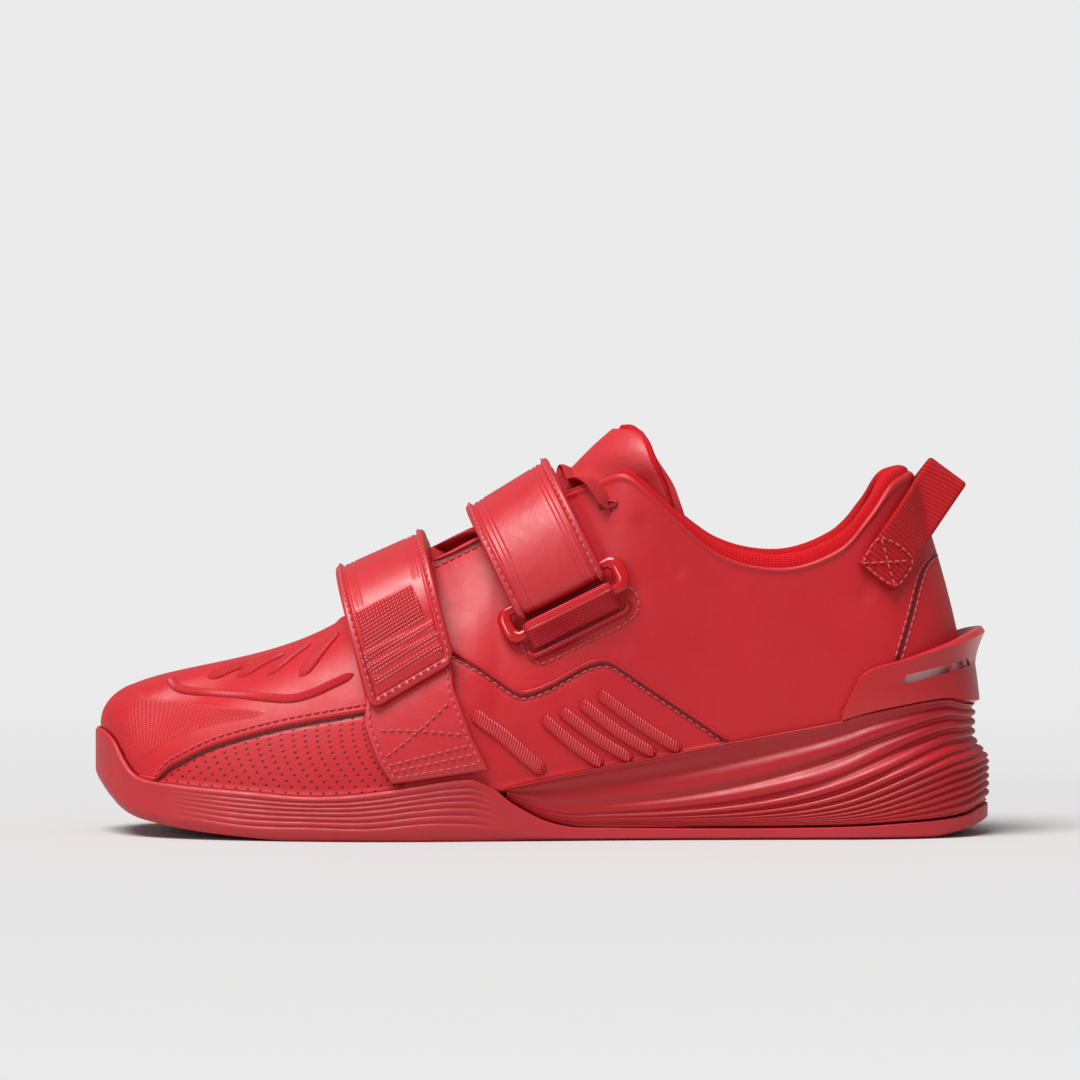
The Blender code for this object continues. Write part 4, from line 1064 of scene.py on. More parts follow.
def knit_paint(name, colour=LINING_RED, loop_shade=LINING_LOOP_SHADE):
    paint = Paint(name, colour, 0.85, 0.2, Sheen_Weight=0.15, Sheen_Roughness=0.5,
                  Sheen_Tint=(1.0, 0.15, 0.18, 1.0))
    across, along = paint.ways()
    loops = paint.math("MULTIPLY", paint.zigzag(across, 0.00050), paint.zigzag(along, 0.00038))
    paint.relief(loops, 0.00035)
    # Painted shade: the colour is darker in the low places between the knit's loops.
    paint.colour(paint.ramp(loops, 0.0, 0.45), loop_shade, colour)
    return paint.material


ROLL_RISE = [
    # share, how far the roll stands over the leather's edge
    (0.560, 0.0000),
    (0.600, 0.0022),
    (0.680, 0.0046),
    (0.840, 0.0052),
    (0.900, 0.0034),
    (0.930, 0.0020),
]


def lining_rows():
    """Grid from under the leather's edge, over the roll and down the inside to the insole."""
    t = even_turns(LINING_TURNS)[:-1]
    wall = wall_at(t, 1.0)
    rows = [form_point(t, 0.975, -0.0010), form_point(t, 0.992, -0.0006)]
    outer = form_point(t, 1.0, -0.0009)
    inner = form_point(t, 1.0, -wall)
    rise = np.maximum(np.interp(outer[:, 0] / LENGTH + 0.5, *np.transpose(ROLL_RISE)), 0.42 * wall)
    for angle in np.linspace(0.10, 0.98, 14) * math.pi:
        share = (1 - math.cos(angle)) / 2
        row = outer * (1 - share) + inner * share
        row[:, 2] += np.maximum(rise * math.sin(angle), 0.0003)
        rows.append(row)
    for v in np.concatenate([[0.985, 0.97], np.linspace(0.94, 0.04, 34)]):
        rows.append(form_point(t, v, -wall_at(t, v)))
    rows.append(base_ring(t, WALL, WALL + 0.0004))
    rows.append(base_ring(t, FLANGE, WALL + 0.0002))
    return np.array(rows)


rows = lining_rows()
lining = grid_object("collar_lining", rows, closed=True, uv=lengths(rows))
finish(lining, "insole", knit_paint("knit_lining"))


# Insole. A moulded foam bed covered with a darker knit than the lining's. It is laid loose
# on the lasting board, with its edge turned down a little against the lining.
INSOLE_THICKNESS = 0.0040


def insole_rows():
    t = even_turns(240, 0.0, 0.5)
    edge, other = [base_ring(way, WALL + 0.0012, WALL + GAP) for way in (t, 1 - t)]
    rows = []
    for share in np.linspace(0.0, 1.0, 48):
        row = edge * (1 - share) + other * share
        crown = 0.80 + 0.20 * smooth_step(min(share, 1 - share), 0.0, 0.05)
        row[:, 2] = bed(row[:, 0] / LENGTH + 0.5) + WALL + 2 * GAP + INSOLE_THICKNESS * crown
        rows.append(row)
    return np.array(rows)


rows = insole_rows()
insole = grid_object("insole_knit", rows, uv=lengths(rows))
face_out(insole)
# The second colour is the painted shade between the insole knit's loops.
cloth = knit_paint("insole_cloth", (0.60, 0.006, 0.011), (0.36, 0.002, 0.005))
finish(insole, "insole", cloth, "insole")


# Tongue. Foam between a smooth synthetic face and a knit lining, sewn in at the vamp and
# held down by the laces. Its top stands free above the instep.
TONGUE_THICKNESS = 0.0050
TONGUE_ROWS = 90
TONGUE_COLUMNS = 49
PIPING_FROM = 34
PIPING_RADIUS = 0.0014
TONGUE = [
    # key, centre, height, half_width, edge_back, edge_drop; shares of the shoe's sizes
    (0.00, 0.272, 0.536, 0.190, 0.004, 0.045),
    (0.12, 0.310, 0.586, 0.225, 0.012, 0.072),
    (0.27, 0.360, 0.672, 0.230, 0.022, 0.085),
    (0.42, 0.409, 0.765, 0.235, 0.034, 0.100),
    (0.57, 0.460, 0.842, 0.235, 0.100, 0.100),
    (0.71, 0.505, 0.930, 0.235, 0.150, 0.095),
    (0.83, 0.540, 1.018, 0.235, 0.110, 0.048),
    (0.92, 0.566, 1.083, 0.225, 0.062, 0.020),
    (0.97, 0.583, 1.120, 0.165, 0.034, 0.008),
    (1.00, 0.592, 1.140, 0.085, 0.014, 0.003),
]


def tongue_middle():
    key = np.linspace(0.0, 1.0, TONGUE_ROWS)[:, None]
    across = np.linspace(-1.0, 1.0, TONGUE_COLUMNS)[None, :]
    centre, height, half, back, drop = [curve(TONGUE, key, c) for c in range(1, 6)]
    share = centre + back * np.abs(across) ** 2.2
    middle = curve(PLAN_LOOP, turn(np.minimum(share, 0.62)), 1)
    y = (middle + across * half) * BALL_WIDTH
    z = (height - drop * np.abs(across) ** 2.0) * COLLAR_HEIGHT - TONGUE_THICKNESS / 2
    return np.stack([(share - 0.5) * LENGTH, y, z], axis=-1)


def grid_normals(grid):
    return unit(np.cross(np.gradient(grid, axis=0), np.gradient(grid, axis=1)))


def ribbon(name, centre, thickness, rolled=0.0, blunt=0.96, relief=None, masks=None, ends=False):
    """Closed band about a grid of points, with round long edges and flat coordinates.

    relief is added to the side that the normals point to. With ends the band's first
    and last rows are rounded off too.
    """
    normals = grid_normals(centre)
    rows, columns = centre.shape[:2]
    across = np.linspace(-1.0, 1.0, columns)
    corner = np.clip((np.abs(across) - blunt) / (1 - blunt), 0.0, 1.0)
    half = thickness / 2 * np.sqrt(np.clip(1 - corner ** 2, 0.02, 1.0))
    half = half * (1 + rolled * np.exp(-(((1 - np.abs(across)) / 0.10) ** 2)))
    half = np.broadcast_to(half, (rows, columns)).copy()
    if ends:
        taper = np.sqrt(np.clip(np.minimum(np.arange(rows), np.arange(rows)[::-1]) / 2.0, 0.05, 1.0))
        half *= taper[:, None]
    raised = half + (relief if relief is not None else 0.0)
    top = centre + normals * raised[..., None]
    under = centre - normals * half[..., None]
    loop = np.concatenate([top, under[:, ::-1]], axis=1)
    place = lengths(centre)[..., ::-1]
    uv = np.concatenate([place, place[:, ::-1]], axis=1)
    both = {mask: np.concatenate([v, 0 * v], axis=1) for mask, v in (masks or {}).items()}
    made = grid_object(name, loop, closed=True, capped=True, uv=uv, masks=both)
    face_out(made)
    return made, top, under


def tongue_half(name, middle, way):
    """One face of the tongue, from edge to edge, crowned by its foam."""
    normals = grid_normals(middle)
    if normals[TONGUE_ROWS // 2, TONGUE_COLUMNS // 2, 2] < 0:
        normals = -normals
    across = np.abs(np.linspace(-1.0, 1.0, TONGUE_COLUMNS))[None, :]
    end = smooth_step(np.linspace(1.0, 0.0, TONGUE_ROWS), 0.0, 0.025)[:, None]
    half = TONGUE_THICKNESS / 2 * np.sqrt(np.clip(1 - across ** 7, 0.0, 1.0)) * (0.15 + 0.85 * end)
    points = middle + normals * (way * half)[..., None]
    return grid_object(name, points, uv=lengths(points))


def tongue_paint():
    paint = Paint("tongue_face", (0.46, 0.014, 0.024), 0.5, 0.7)
    solid = paint.solid()
    paint.relief(paint.cells(solid, 1300.0), 0.00004)
    paint.relief(paint.noise(solid, 200.0, 4.0), 0.00025)
    paint.colour(paint.noise(solid, 40.0), (0.52, 0.008, 0.015), (0.62, 0.014, 0.024))
    return paint.material


def tube(name, points, radius, closed=False, sides=10, wide=None):
    """Bar along a line of points; wide gives its breadth in the line's plane at each point."""
    points = [Vector(p) for p in points]
    last = len(points) - 1
    along = []
    flat = Vector((0.0, 0.0, 0.0))
    for n, point in enumerate(points):
        before = points[n - 1 if closed or n else 0]
        after = points[(n + 1) % (last + 1) if closed else min(n + 1, last)]
        along.append((after - before).normalized())
        flat += (point - points[0]).cross(after - before)
    flat = flat.normalized() if flat.length > 1e-12 else Vector((0.0, 0.0, 1.0))
    angles = [2 * math.pi * k / sides for k in range(sides)]
    rings = []
    for n, point in enumerate(points):
        over = along[n].cross(flat).normalized()
        up = over.cross(along[n]).normalized()
        broad = over * (radius * (wide[n] if wide else 1.0))
        rings.append([tuple(point + broad * math.cos(w) + up * (math.sin(w) * radius)) for w in angles])
    rings = np.array(rings + rings[:1] if closed else rings)
    made = grid_object(name, rings, closed=True, capped=not closed, uv=lengths(rings))
    face_out(made, merge=0.000001)
    return made


middle = tongue_middle()
tongue = tongue_half("tongue_face", middle, 1)
finish(tongue, "tongue", tongue_paint(), "tongue")
tongue_back = tongue_half("tongue_lining", middle, -1)
finish(tongue_back, "tongue", knit_paint("tongue_knit"))
edges = middle[PIPING_FROM:-1]
piping = np.concatenate([edges[:, 1], middle[-1, 1:-1:4], edges[::-1, -2]])
roll = tube("tongue_piping", smooth_line(piping[::3], 0.0015), PIPING_RADIUS, sides=14)
finish(roll, "tongue", knit_paint("piping_knit"))


# Laces. One flat woven lace runs through the slit eyelets and crosses over the tongue,
# half hidden by the straps; its ends go in at the top eyelets.
LACE_WIDTH = 0.0060
LACE_THICKNESS = 0.0011
EYELETS = (0.318, 0.358, 0.454, 0.482, 0.512, 0.573)
EYELET_LEVEL = 0.92
# How far along the shoe the lace moves from its eyelet to the throat's edge, low and high.
LACE_LEANS = (0.006, -0.024)
EDGE_CLEARANCE = 0.0021


def tongue_top(x, y):
    """Height of the tongue's upper face under a place seen from above."""
    hit = TONGUE_TREE.ray_cast(Vector((x, y, 0.25)), Vector((0.0, 0.0, -1.0)))[0]
    return hit.z if hit else 0.0


def edge_turn(share):
    """Turn of the rib whose end on the throat's edge lies at a length share."""
    t = np.linspace(0.0, 0.5, 1500)
    ends = on_ribs(ribs(t), np.ones_like(t))[:, 0] / LENGTH + 0.5
    return float(np.interp(share, ends, t))


def form_place(t, v, out):
    """One place on the upper's outer surface, or off it."""
    return Vector(form_point(np.array([t]), v, out)[0])


def lace_end(share, side, lean):
    """Way of the lace out of an eyelet, over the eyestay and past the throat's edge."""
    lift = 2 * GAP + LACE_THICKNESS / 2
    slit, edge = [t if side < 0 else 1 - t for t in (edge_turn(share), edge_turn(share + lean))]
    return [form_place(slit, EYELET_LEVEL - 0.052, -0.0012),
            form_place(slit, EYELET_LEVEL - 0.045, lift),
            form_place((slit + edge) / 2, 0.985, lift + 0.0006),
            form_place(edge, 1.0, 0.0) + Vector((0.0, 0.0, EDGE_CLEARANCE))]


def lace_rows(start_share, start_side, end_share):
    """Rows across one crossing, from the lower eyelet over the tongue to the upper one."""
    low = lace_end(start_share, start_side, LACE_LEANS[0])
    high = lace_end(end_share, -start_side, LACE_LEANS[1])
    crest = low[-1] * 0.6 + high[-1] * 0.4
    crest.y = (low[-1].y + high[-1].y) / 2
    path = smooth_line(low + [crest] + high[::-1], 0.0012)
    for n, point in enumerate(path):
        share = n / (len(path) - 1)
        if 0.14 < share < 0.86:
            over = tongue_top(point.x, point.y) + 2 * GAP + LACE_THICKNESS / 2 + 0.0004
            if start_side > 0:
                over += LACE_THICKNESS * math.sin(math.pi * share) ** 4
            point.z = max(point.z, over)
    line = softened(np.array([tuple(p) for p in path]), 6)
    core = line - np.array([0.012, 0.0, 0.030])
    core[:, 1] = line[:, 1].mean()
    over = unit(np.cross(line - core, np.gradient(line, axis=0))) * (LACE_WIDTH / 2)
    return line[:, None] + over[:, None] * np.linspace(-1.0, 1.0, 7)[None, :, None]


def woven_paint(name, colour, pitch, depth):
    """Flat woven tape: threads run both ways, over and under."""
    paint = Paint(name, colour, 0.75, 0.25, Sheen_Weight=0.1, Sheen_Tint=(1.0, 0.2, 0.22, 1.0))
    across, along = paint.ways()
    up = paint.zigzag(paint.math("ADD", across, along), pitch)
    down = paint.zigzag(paint.math("SUBTRACT", across, along), pitch)
    height = paint.math("MAXIMUM", up, down)
    paint.relief(height, depth)
    # Painted shade: the tape is darker where the threads dip under.
    paint.colour(paint.ramp(height, 0.4, 0.9), tuple(c * 0.72 for c in colour), colour)
    return paint.material


TONGUE_TREE = grid_tree(middle + np.array([0.0, 0.0, TONGUE_THICKNESS / 2]), closed=False)
bands = []
for start_side in (-1, 1):
    for a, b in zip(EYELETS, EYELETS[1:]):
        bands.append(ribbon("lace_band", lace_rows(a, start_side, b), LACE_THICKNESS, blunt=0.6)[0])
laces = joined("woven_lace", bands)
finish(laces, "laces", woven_paint("lace_weave", (0.74, 0.030, 0.040), 0.00045, 0.0003), "laces")


# Eyelets. Slits cut through the eyestay, six on each side. Each has a thin rim of film,
# pressed on hot, that keeps the lace off the cut edge.
def plain_paint(name, colour, roughness, coat=0.0):
    """Moulded plastic or pressed leather, with a slight cloud of colour and of gloss."""
    paint = Paint(name, colour, roughness, 0.4, Coat_Weight=coat, Coat_Roughness=0.08)
    paint.colour(paint.noise(paint.solid(), 70.0), tuple(c * 0.86 for c in colour), colour)
    paint.gloss(220.0, roughness * 0.85, roughness * 1.15)
    return paint.material


EYELET_LENGTH = 0.0064
EYELET_BREADTH = 0.0022
EYELET_RIM = 0.00045
rims = []
for share in EYELETS:
    for side in (-1, 1):
        t = edge_turn(share) if side < 0 else 1 - edge_turn(share)
        here = form_place(t, EYELET_LEVEL - 0.05, 0.0006)
        up = (form_place(t, EYELET_LEVEL, 0.0006) - here).normalized()
        out = Vector(form_normal(np.array([t]), EYELET_LEVEL - 0.05)[0])
        along = up.cross(out).normalized() * (EYELET_LENGTH / 2)
        up = up * (EYELET_BREADTH / 2)
        angles = [2 * math.pi * k / 24 for k in range(24)]
        ring = [here + along * math.cos(w) + up * math.sin(w) for w in angles]
        rims.append(tube("slit", ring, EYELET_RIM, closed=True, sides=8))
eyelets = joined("eyelet_rims", rims)
finish(eyelets, "upper", plain_paint("pressed_rim", (0.40, 0.010, 0.018), 0.4))


# Straps. Synthetic leather folded round a webbing core with turned, stitched edges. Each is
# sewn to the upper at its base, crosses the instep, runs through its ring and doubles back
# onto its own hook-and-loop face.
STRAP_WIDTH = 0.0315
STRAP_THICKNESS = 0.0020
STRAP_LAYER_GAP = 0.0006
STRAP_ROUND = 0.0042
RING_BAR = 0.0026
RING_OPENING = 0.0062
RING_OVERHANG = 0.0046
RING_CORNER = 0.0030
RING_EARS = 0.8
WEBBING_THICKNESS = 0.0011
RIM_BAR = 0.0017
RIM_OVERHANG = 0.0022
ARCH_POWER = 0.78
ARCH_STEPS = 52
BASE_STEPS = 40
TURN_STEPS = 14
FREE_LIFT = 0.0014
PRESSED_LINES = (0.60, 0.69)
TURNED_EDGE = 0.83
STRAPS = {
    "front": {
        "ring_side": 1,
        "top": (0.3229, 0.765),
        "ring_foot": (0.3440, 0.500),
        "free_foot": (0.3540, 0.462),
        "base": ((0.3553, 0.366), (0.3732, 0.250), (0.3900, 0.176)),
        "free_end": 0.0050,
        "tilt_top": 24.0,
        "tilt_side": 15.5,
        "tilt_free": 30.0,
        "tilt_base": 8.0,
        "plain_end": 0.032,
        "webbing": (0.006, -0.044),
    },
    "rear": {
        "ring_side": -1,
        "top": (0.4655, 0.950),
        "ring_foot": (0.5180, 0.690),
        "free_foot": (0.5180, 0.610),
        "base": ((0.5290, 0.520), (0.5420, 0.400), (0.5540, 0.270)),
        "free_end": 0.0120,
        "tilt_top": 31.5,
        "tilt_side": 26.5,
        "tilt_free": 26.5,
        "tilt_base": 12.0,
        "plain_end": 0.0,
        "webbing": (0.009, -0.041),
    },
}
MIDDLE = 44
ACROSS = np.linspace(-1.0, 1.0, 2 * MIDDLE + 1)
GRIP_PATCH = ((357, 610), (414, 581), (429, 614), (367, 644))
GRIP_BARS = (((370, 651), (433, 620)), ((374, 662), (438, 631)), ((378, 673), (442, 642)))


def side_of_form(x, z, side):
    """How far out the upper reaches at a side-view place."""
    hit = FORM_TREE.ray_cast(Vector((x, side * BALL_WIDTH, z)), Vector((0.0, -side, 0.0)))[0]
    return hit.y * side if hit else 0.0


def side_view(share, height):
    return (share - 0.5) * LENGTH, height * COLLAR_HEIGHT


def strap_place(place, tilt, column):
    x, z = side_view(*place)
    half = column * STRAP_WIDTH / 2
    return x + half * math.cos(math.radians(tilt)), z + half * math.sin(math.radians(tilt))


def arch_row(strap, angle, lift_ring, lift_free):
    """Points across the strap at an angle of its arch: 0 at the free foot, 180 at the ring."""
    near_free = angle <= 90
    side = -strap["ring_side"] if near_free else strap["ring_side"]
    foot = strap["free_foot"] if near_free else strap["ring_foot"]
    lift = lift_free if near_free else lift_ring
    up = math.sin(math.radians(angle)) ** ARCH_POWER
    out = abs(math.cos(math.radians(angle))) ** ARCH_POWER
    foot_tilt = strap["tilt_free"] if near_free else strap["tilt_side"]
    tilt = foot_tilt + (strap["tilt_top"] - foot_tilt) * up
    place = tuple(f + (t - f) * up for f, t in zip(foot, strap["top"]))
    reaches = []
    for column in (-1.0, 0.0, 1.0):
        foot_x, foot_z = strap_place(foot, foot_tilt, column)
        reaches.append(side_of_form(foot_x, foot_z, side) + lift)
    chord = (reaches[0] + reaches[-1]) / 2
    bulge = max(0.0, reaches[1] - chord)
    row = []
    for column in ACROSS:
        reach = chord + bulge + column * (reaches[-1] - reaches[0]) / 2
        x, z = strap_place(place, tilt, column)
        row.append((x, side * reach * out, z))
    return row


def strap_centre(strap):
    """Grid along the strap's middle surface, and its turn round the ring."""
    layer = (STRAP_THICKNESS + STRAP_LAYER_GAP) / 2
    around_bar = RING_BAR / 2 + GAP + STRAP_THICKNESS / 2
    lift_free = GAP * 2 + STRAP_THICKNESS + STRAP_LAYER_GAP / 2
    lift_ring = GAP * 4 + RING_BAR / 2 + GAP + STRAP_THICKNESS
    angles = np.linspace(0.0, 180.0, 2 * ARCH_STEPS + 1)
    middle = np.array([arch_row(strap, angle, lift_ring, lift_free) for angle in angles])
    normals = grid_normals(middle)
    if normals[ARCH_STEPS, MIDDLE, 2] < 0:
        normals = -normals
    near_ring = np.clip((angles - 150.0) / 30.0, 0.0, 1.0)
    away = (layer + (around_bar - layer) * near_ring)[:, None, None]
    inner = middle - normals * away
    outer = middle + normals * away
    down = unit(middle[-1] - middle[-2])
    bend = []
    for angle in np.linspace(0.0, math.pi, TURN_STEPS)[1:-1]:
        bend.append(middle[-1] + (down * math.sin(angle) - normals[-1] * math.cos(angle)) * around_bar)
    side = -strap["ring_side"]
    spots = np.array([(0.0,) + strap["free_foot"]]
                     + [(s,) + p for s, p in zip((0.33, 0.66, 1.0), strap["base"])])
    base = []
    for share in np.linspace(1.0, 0.04, BASE_STEPS):
        place = [np.interp(share, spots[:, 0], spots[:, c]) for c in (1, 2)]
        tilt = strap["tilt_free"] + (strap["tilt_base"] - strap["tilt_free"]) * share
        row = []
        for column in ACROSS:
            x, z = strap_place(place, tilt, column)
            row.append((x, side * (side_of_form(x, z, side) + GAP * 2 + STRAP_THICKNESS / 2), z))
        base.append(row)
    free = outer[0] + unit(outer[0] - outer[1]) * strap["free_end"]
    ends = []
    for u in np.linspace(0.0, 1.0, TURN_STEPS)[1:]:
        row = outer[0] * (1 - u) + free * u
        left = max(0.0, STRAP_ROUND - (1 - u) * strap["free_end"])
        inset = STRAP_ROUND - math.sqrt(STRAP_ROUND ** 2 - left ** 2)
        ends.append(row[MIDDLE] + (row - row[MIDDLE]) * (1 - inset / (STRAP_WIDTH / 2)))
    grid = softened(np.concatenate([base, inner, bend, outer[::-1], ends]))
    if strap["ring_side"] < 0:
        grid = grid[:, ::-1]
    to_end = np.linalg.norm(grid[:, MIDDLE] - grid[-1, MIDDLE], axis=1)
    last_rows = np.arange(len(grid)) > len(grid) - ARCH_STEPS
    lift = FREE_LIFT * (1 - smooth_step(to_end, 0.0, 0.020)) * last_rows
    grid = grid + grid_normals(grid) * lift[:, None, None]
    return grid, middle[-1], down, normals[-1]


def strap_paint(name):
    paint = Paint(name, (0.45, 0.015, 0.024), 0.42, 0.75)
    solid = paint.solid()
    paint.colour(paint.noise(solid, 45.0), (0.52, 0.008, 0.015), (0.62, 0.014, 0.024))
    paint.relief(paint.cells(solid, 1400.0), 0.00003)
    paint.relief(paint.noise(solid, 260.0), 0.00012)
    across, along = paint.ways()
    studs = paint.math("MULTIPLY", paint.zigzag(across, 0.0006), paint.zigzag(along, 0.0006))
    paint.relief(paint.math("MULTIPLY", studs, paint.mask("grip")), 0.0006)
    paint.gloss(120.0, 0.36, 0.48)
    return paint.material


def strap_relief(grid, plain_end):
    """Turned edges and two pressed lines along each, which stop short of a plain end."""
    across = np.abs(np.linspace(-1.0, 1.0, grid.shape[1]))[None, :]
    steps = np.linalg.norm(np.diff(grid[:, MIDDLE], axis=0), axis=1)
    to_end = np.concatenate([np.cumsum(steps[::-1])[::-1], [0.0]])[:, None]
    brink = np.maximum(across, 1 - to_end / (STRAP_WIDTH / 2))
    height = 0.0006 * smooth_step(brink, TURNED_EDGE, TURNED_EDGE + 0.04)
    height = height - 0.0005 * np.exp(-(((brink - TURNED_EDGE + 0.02) / 0.022) ** 2))
    for line in PRESSED_LINES:
        pressed = 0.0004 * np.exp(-(((across - line) / 0.018) ** 2))
        height = height - pressed * smooth_step(to_end, plain_end, plain_end + 0.001)
    return np.broadcast_to(height, grid.shape[:2]).copy()


def grip_mask(grid):
    """Studded patch and bars on the strap's outer layer."""
    x, y, z = grid[..., 0], grid[..., 1], grid[..., 2]
    on_top = (y < 0) & (np.arange(len(grid))[:, None] > len(grid) - 2 * ARCH_STEPS)
    grip = smooth_step(np.where(on_top, inside(GRIP_PATCH, x, z), -1.0), 0.0, 0.0006)
    for ends in GRIP_BARS:
        near = near_line(np.stack([x, z, 0 * x], axis=-1), pixel_line(ends, 0.001), 0.003)
        grip = np.maximum(grip, np.where(on_top, 1 - smooth_step(near, 0.0009, 0.0013), 0.0))
    return grip


strap_faces = {}
ring_places = {}
for name, strap in STRAPS.items():
    grid, *ring_places[name] = strap_centre(strap)
    grip = grip_mask(grid) if name == "front" else np.zeros(grid.shape[:2])
    height = strap_relief(grid, strap["plain_end"]) + 0.0003 * grip
    made, *strap_faces[name] = ribbon(name + "_strap_leather", grid, STRAP_THICKNESS, rolled=0.12,
                                      blunt=0.93, relief=height, masks={"grip": grip}, ends=True)
    finish(made, name + "_strap", strap_paint(name + "_strap_paint"), name + "_strap")


# Rings. Glossy moulded rectangles that the straps turn round, each held by a short loop of
# satin webbing that comes out of a slot with a moulded rim.
CORNER_STEPS = 8


def bar_loop(centre, along, across, half_long, half_wide, corner):
    """Points of a rectangle with round corners, about a centre, in the plane of two ways."""
    points = []
    for quarter, (sx, sy) in enumerate(((1, 1), (-1, 1), (-1, -1), (1, -1))):
        for step in range(CORNER_STEPS + 1):
            angle = math.pi / 2 * (quarter + step / CORNER_STEPS)
            x = sx * (half_long - corner) + corner * math.cos(angle)
            y = sy * (half_wide - corner) + corner * math.sin(angle)
            points.append(centre + along * x + across * y)
    return points


def satin_paint():
    paint = Paint("satin_webbing", (0.62, 0.006, 0.016), 0.36, 0.5, Anisotropic=0.5)
    rib = paint.zigzag(paint.ways()[0], 0.00055)
    paint.relief(rib, 0.00035)
    # Painted shade: the satin is darker between its ribs and lighter on their crests.
    paint.colour(rib, (0.40, 0.003, 0.010), (0.66, 0.010, 0.022))
    return paint.material


ring_paint = plain_paint("glossy_ring", (0.55, 0.006, 0.010), 0.18, coat=0.3)
slot_paint = plain_paint("moulded_slot_rim", (0.50, 0.008, 0.014), 0.38, coat=0.05)
webbing_paint = satin_paint()
for name, strap in STRAPS.items():
    bar, down, ways = ring_places[name]
    side = strap["ring_side"]
    bar = [Vector(p) for p in bar]
    centre = bar[MIDDLE]
    along = (bar[-1] - bar[0]).normalized()
    drop = Vector(down[MIDDLE])
    spacing = RING_OPENING + RING_BAR
    half = (bar[-1] - bar[0]).length / 2 + RING_OVERHANG
    loop = bar_loop(centre + drop * spacing / 2, along, drop, half, spacing / 2, RING_CORNER)
    clearance = RING_BAR / 2 + WEBBING_THICKNESS + 5 * GAP
    lower = [bar[0].lerp(bar[-1], k / 16) + drop * spacing for k in range(17)]
    push = max([0.0] + [side_of_form(p.x, p.z, side) + clearance - p.y * side for p in lower])
    for point in loop:
        point.y += side * push * max(0.0, min(1.0, (point - centre).dot(drop) / spacing))
    for point in lower:
        point.y += side * push
    past = [abs((p - centre).dot(along)) for p in loop]
    ears = [1.0 + RING_EARS * float(smooth_step(p, half - 0.0045, half - 0.001)) for p in past]
    ring = tube(name + "_ring_bar", loop, RING_BAR / 2, closed=True, sides=14, wide=ears)
    finish(ring, name + "_ring", ring_paint, name + "_ring")

    drop = (lower[8] - centre).normalized()
    way = along.cross(drop).normalized()
    way = way if way.dot(Vector(ways[MIDDLE])) > 0 else -way
    around_bar = RING_BAR / 2 + 3 * GAP + WEBBING_THICKNESS / 2
    run = Vector((strap["webbing"][0] * LENGTH, 0.0, strap["webbing"][1] * COLLAR_HEIGHT))
    inner, outer = [], []
    for share in np.linspace(1.0, 0.0, TURN_STEPS):
        inner.append([])
        outer.append([])
        for p in lower:
            end = p + run
            low = side_of_form(end.x, end.z, side) + 2 * GAP + WEBBING_THICKNESS / 2
            near = (p - way * around_bar).lerp(Vector((end.x, side * low, end.z)), share)
            least = side_of_form(near.x, near.z, side) + GAP + WEBBING_THICKNESS / 2
            near.y = side * max(near.y * side, least)
            inner[-1].append(tuple(near))
            high = Vector((end.x, side * (low + WEBBING_THICKNESS + GAP), end.z))
            outer[-1].append(tuple((p + way * around_bar).lerp(high, share)))
    bend = []
    for angle in np.linspace(0.0, math.pi, 12)[1:-1]:
        turned = (-drop * math.sin(angle) - way * math.cos(angle)) * around_bar
        bend.append([tuple(p + turned) for p in lower])
    band = np.array(inner + bend + outer[::-1])
    webbing = ribbon(name + "_webbing_loop", band, WEBBING_THICKNESS)[0]
    finish(webbing, name + "_webbing", webbing_paint, name + "_webbing")

    half = (lower[-1] - lower[0]).length / 2 + RIM_OVERHANG
    below = WEBBING_THICKNESS + RIM_BAR / 2 + 2 * GAP
    rim = bar_loop(lower[8] + run, along, drop, half, below, below * 0.98)[:2 * (CORNER_STEPS + 1)]
    line = smooth_line(rim, 0.0008)
    for point in line:
        point.y = side * (side_of_form(point.x, point.z, side) + RIM_BAR / 2 + 2 * GAP)
    slot_rim = tube(name + "_slot_frame", line, RIM_BAR / 2, sides=12)
    finish(slot_rim, name + "_slot_rim", slot_paint, name + "_slot_rim")


# Heel clip. A hard glossy plastic counter cemented round the heel above the midsole, with a
# slot on each side and a lip that stands off at the back.
CLIP_THICKNESS = 0.0019
CLIP = [
    # share, top, thickening, lip
    (0.832, 0.345, 0.0000, 0.0000),
    (0.842, 0.395, 0.0000, 0.0000),
    (0.852, 0.440, 0.0000, 0.0000),
    (0.866, 0.464, 0.0001, 0.0000),
    (0.900, 0.487, 0.0004, 0.0006),
    (0.940, 0.515, 0.0008, 0.0020),
    (0.970, 0.535, 0.0011, 0.0038),
    (0.990, 0.550, 0.0013, 0.0054),
    (1.000, 0.556, 0.0014, 0.0060),
]
CLIP_WINDOWS = (
    ((0.899, 0.420), (0.952, 0.452), (0.952, 0.474), (0.903, 0.448)),
    ((0.956, 0.455), (0.978, 0.468), (0.974, 0.488), (0.956, 0.476)),
)


def level_of(t, height):
    """Level on the ribs at which each turn reaches a height."""
    low, high = np.zeros_like(t), np.ones_like(t)
    knots = ribs(t)
    for _ in range(24):
        half = (low + high) / 2
        under = on_ribs(knots, half)[..., 2] < height
        low, high = np.where(under, half, low), np.where(under, high, half)
    return (low + high) / 2


def clip_grid():
    start = float(turn(CLIP[0][0])) / 2
    t = even_turns(200, start, 1 - start)
    share = share_at(t)
    low = top_edge(share) + GAP
    top = curve(CLIP, share, 1) * COLLAR_HEIGHT
    thick = CLIP_THICKNESS + curve(CLIP, share, 2)
    columns = []
    for level in np.linspace(0.0, 1.0, 34):
        v = level_of(t, low + level * (top - low))
        flare = curve(CLIP, share, 3) * max(0.0, (level - 0.5) / 0.5) ** 1.6
        columns.append(form_point(t, v, 2 * GAP + flare + thick / 2))
    return np.stack(columns, axis=1), thick


